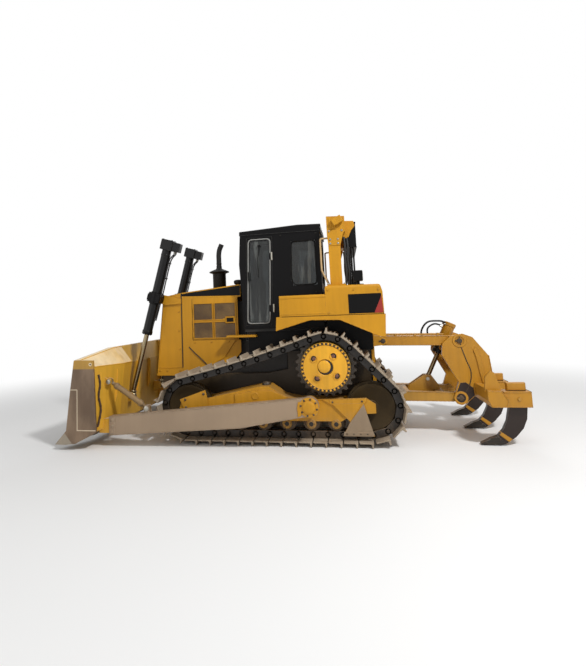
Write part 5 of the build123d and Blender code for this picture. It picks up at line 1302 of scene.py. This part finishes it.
# shanks: the yellow bands above each pocket and over each tip, and the pin through the tip
band_set, tip_set = [], []
band_line = side_line([(-2341, 83), (-2292, 48), (-2182, 138), (-2212, 175)])
for y in shank_ys:
    band_set.append(plate(band_line, (y - 40) / 1000, (y + 40) / 1000, 0.004))
    band_set.append(bar((-2548, -2320), (y - 41, y + 41), (704, 804), 0.008))
    tip_set.append(turned([(0.001, -0.048), (0.013, -0.048), (0.013, 0.048), (0.001, 0.048)], 16,
        rel(-2196, y, 74)))
build("shank_bands", join(*band_set), ripper_yellow, "ripper_frame", slot="yellow_paint")
build("tip_pins", join(*tip_set), shank_brown, "ripper_frame")

# cylinder: dark lower barrel, yellow head with two looped hoses, chromed rod into its lug
lug, trunnion_at = rel(-1483, 0, 741), rel(-1723, 0, 1239)
ripper_run = trunnion_at - lug
ripper_reach = float(np.linalg.norm(ripper_run))
ripper_run /= ripper_reach
ripper_start = ripper_reach - 0.13
lower_barrel = [(0.033, 0.0), (0.086, 0.0), (0.092, 0.006), (0.092, 0.054), (0.083, 0.06), (0.082, 0.07),
    (0.082, 0.27), (0.001, 0.272)]
upper_barrel = [(0.082, 0.27), (0.0835, 0.274), (0.0835, 0.44), (0.088, 0.445), (0.088, 0.49),
    (0.08, 0.498), (0.001, 0.5)]
ripper_body = turned(lower_barrel, 36, lug + ripper_run * ripper_start, ripper_run)
ripper_head = turned(upper_barrel, 36, lug + ripper_run * ripper_start, ripper_run)
ripper_pins = [turned([(0.001, d0), (0.0398, d0), (0.0398, d1), (0.001, d1)], 28, trunnion_at)
    for d0, d1 in ((0.078, 0.17), (-0.17, -0.078))]
barrel_piece = build("ripper_body", join(ripper_body, *ripper_pins), cylinder_grey, "ripper_barrel",
    slot="black_paint")
build("ripper_head", ripper_head, ripper_yellow, "ripper_barrel", slot="yellow_paint")
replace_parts(barrel_piece, "ripper_barrel")
barrel_front = np.array([ripper_run[2], 0, -ripper_run[0]])


def on_barrel(along, out, y):
    """A point beside the barrel: along it from its gland, out in front of it, and across."""
    return lug + ripper_run * (ripper_start + along) + barrel_front * out + (0, y, 0)


loops = join(pipe([on_barrel(0.45, 0.06, 0.05), on_barrel(0.47, 0.11, 0.07), rel(-1690, 100, 1612),
    rel(-1540, 105, 1600), rel(-1450, 105, 1500), rel(-1440, 95, 1390), rel(-1530, 70, 1310),
    on_barrel(0.19, 0.12, 0.03), on_barrel(0.19, 0.07, 0.03)], 0.014, 12),
    pipe([on_barrel(0.40, 0.06, -0.03), on_barrel(0.41, 0.13, -0.04), rel(-1650, -60, 1560),
    rel(-1560, -60, 1500), rel(-1550, -55, 1400), on_barrel(0.12, 0.16, -0.03),
    on_barrel(0.12, 0.07, -0.03)], 0.013, 12))
build("ripper_hoses", loops, rubber, "ripper_barrel")
hose_nut = [(0.0165, -0.006), (0.0205, -0.002), (0.0205, 0.022), (0.0165, 0.03), (0.0152, 0.05)]
hose_ends = join(*[turned(hose_nut, 6, on_barrel(along, 0.068, y), barrel_front)
    for along, y in ((0.45, 0.052), (0.40, -0.032), (0.19, 0.03), (0.12, -0.03))])
build("ripper_hose_ends", hose_ends, fitting_zinc, "ripper_barrel")
rod_line = [(0.03, 0.03), (0.04, 0.04), (0.04, 0.06), (0.0322, 0.07), (0.0322, 0.676), (0.0322, 0.678),
    (0.0615, 0.68), (0.0615, 0.706), (0.001, 0.708)]
rod_eye = turned([(0.026, -0.034), (0.041, -0.034), (0.045, -0.030), (0.045, 0.030), (0.041, 0.034),
    (0.026, 0.034)], 32, lug, closed=True)
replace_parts(build("ripper_rod_turned", join(turned(rod_line, 28, lug, ripper_run), rod_eye),
    chrome_dust_and_shade, "ripper_rod", slot="chrome"), "ripper_rod")
lug_pin = turned([(0.001, -0.078), (0.025, -0.078), (0.025, 0.078), (0.001, 0.078)], 24, lug)
build("lug_pin", lug_pin, fitting_zinc, "ripper_lower_link", slot="worn_steel")
lug_welds = bead(spots((-1158, 56, 492), (-1214, 56, 648), (-1440, 56, 796)), 0.004, 0.02)
build_pair("lug_welds", lug_welds, link_ochre, "ripper_lower_link")


# ---- Floor, sky, lamps and camera --------------------------------------------------------
# A plain pale studio: a matt floor that takes the shadow, an even sky, and one large lamp up
# at the machine's rear left with two weak ones to open the shadows.


def shown_white(tree):
    """One for rays that the viewer follows to a backdrop, direct, mirrored or through glass."""
    path = grow(tree, "LightPath").outputs
    seen = sum_of(tree, "MAXIMUM", path["Is Camera Ray"], path["Is Glossy Ray"])
    return sum_of(tree, "MAXIMUM", seen, path["Is Transmission Ray"])


floor_material, tree, shader = blank_material("studio floor")
shader.inputs["Base Color"].default_value = (0.86, 0.86, 0.855, 1)
shader.inputs["Roughness"].default_value = 0.95
shader.inputs["Specular IOR Level"].default_value = 0.1
place = grow(tree, "TexCoord").outputs["Object"]
away = grow(tree, "VectorMath", {"operation": "LENGTH"}, in0=place).outputs["Value"]
far = ramp(tree, away, 5.0, 11.0)
seen = shown_white(tree)
glow = grow(tree, "Emission", Color=(1, 1, 1, 1), Strength=1.0).outputs[0]
veil = grow(tree, "MixShader", in0=sum_of(tree, "MULTIPLY", far, seen), in1=shader.outputs[0], in2=glow)
tree.links.new(veil.outputs[0], tree.nodes["Material Output"].inputs[0])
floor = bpy.data.meshes.new("studio_floor")
edge = 60
floor.from_pydata([(-edge, -edge, 0), (edge, -edge, 0), (edge, edge, 0), (-edge, edge, 0)], [],
    [(0, 1, 2, 3)])
floor.materials.append(floor_material)
floor_object = bpy.data.objects.new("studio_floor", floor)
bpy.context.scene.collection.objects.link(floor_object)

world = bpy.data.worlds.new("sky")
bpy.context.scene.world = world
world.use_nodes = True
tree = world.node_tree
seen = shown_white(tree)
sky = grow(tree, "Background", Color=(1.0, 1.0, 1.0, 1), Strength=0.42).outputs[0]
white = grow(tree, "Background", Color=(1, 1, 1, 1), Strength=1.0).outputs[0]
shown = grow(tree, "MixShader", in0=seen, in1=sky, in2=white)
tree.links.new(shown.outputs[0], tree.nodes["World Output"].inputs[0])
for name, place, power, size in (("key", (-5.6, 6.6, 9.2), 900, 1.2), ("fill", (7.0, 7.5, 4.0), 110, 5.0),
    ("back", (-2.0, -9.0, 7.0), 260, 5.0)):
    lamp = bpy.data.lights.new(name, "AREA")
    lamp.energy, lamp.size = power, size
    lit = bpy.data.objects.new(name, lamp)
    lit.location = place
    lit.rotation_euler = (-Vector(place) + Vector((0, 0, 1.0))).to_track_quat("-Z", "Y").to_euler()
    bpy.context.scene.collection.objects.link(lit)

eye = bpy.data.cameras.new("eye")
eye.lens, eye.shift_x, eye.shift_y = 25.72, 0.0802, -0.1029
eye.clip_end = 200
eye_object = bpy.data.objects.new("eye", eye)
bpy.context.scene.collection.objects.link(eye_object)
yaw, pitch, roll = np.radians((12.13, 5.71, -2.19))
ahead = np.array([np.sin(yaw) * np.cos(pitch), -np.cos(yaw) * np.cos(pitch), np.sin(pitch)])
right = np.cross(ahead, (0, 0, 1))
right /= np.linalg.norm(right)
rise = np.cross(right, ahead)
right, rise = right * np.cos(roll) + rise * np.sin(roll), rise * np.cos(roll) - right * np.sin(roll)
eye_at = (-0.925, 7.9, 1.86)
eye_object.matrix_world = Matrix([[right[i], rise[i], -ahead[i], eye_at[i]]
    for i in range(3)] + [[0, 0, 0, 1]])
bpy.context.scene.camera = eye_object
bpy.context.scene.view_settings.view_transform = "Standard"
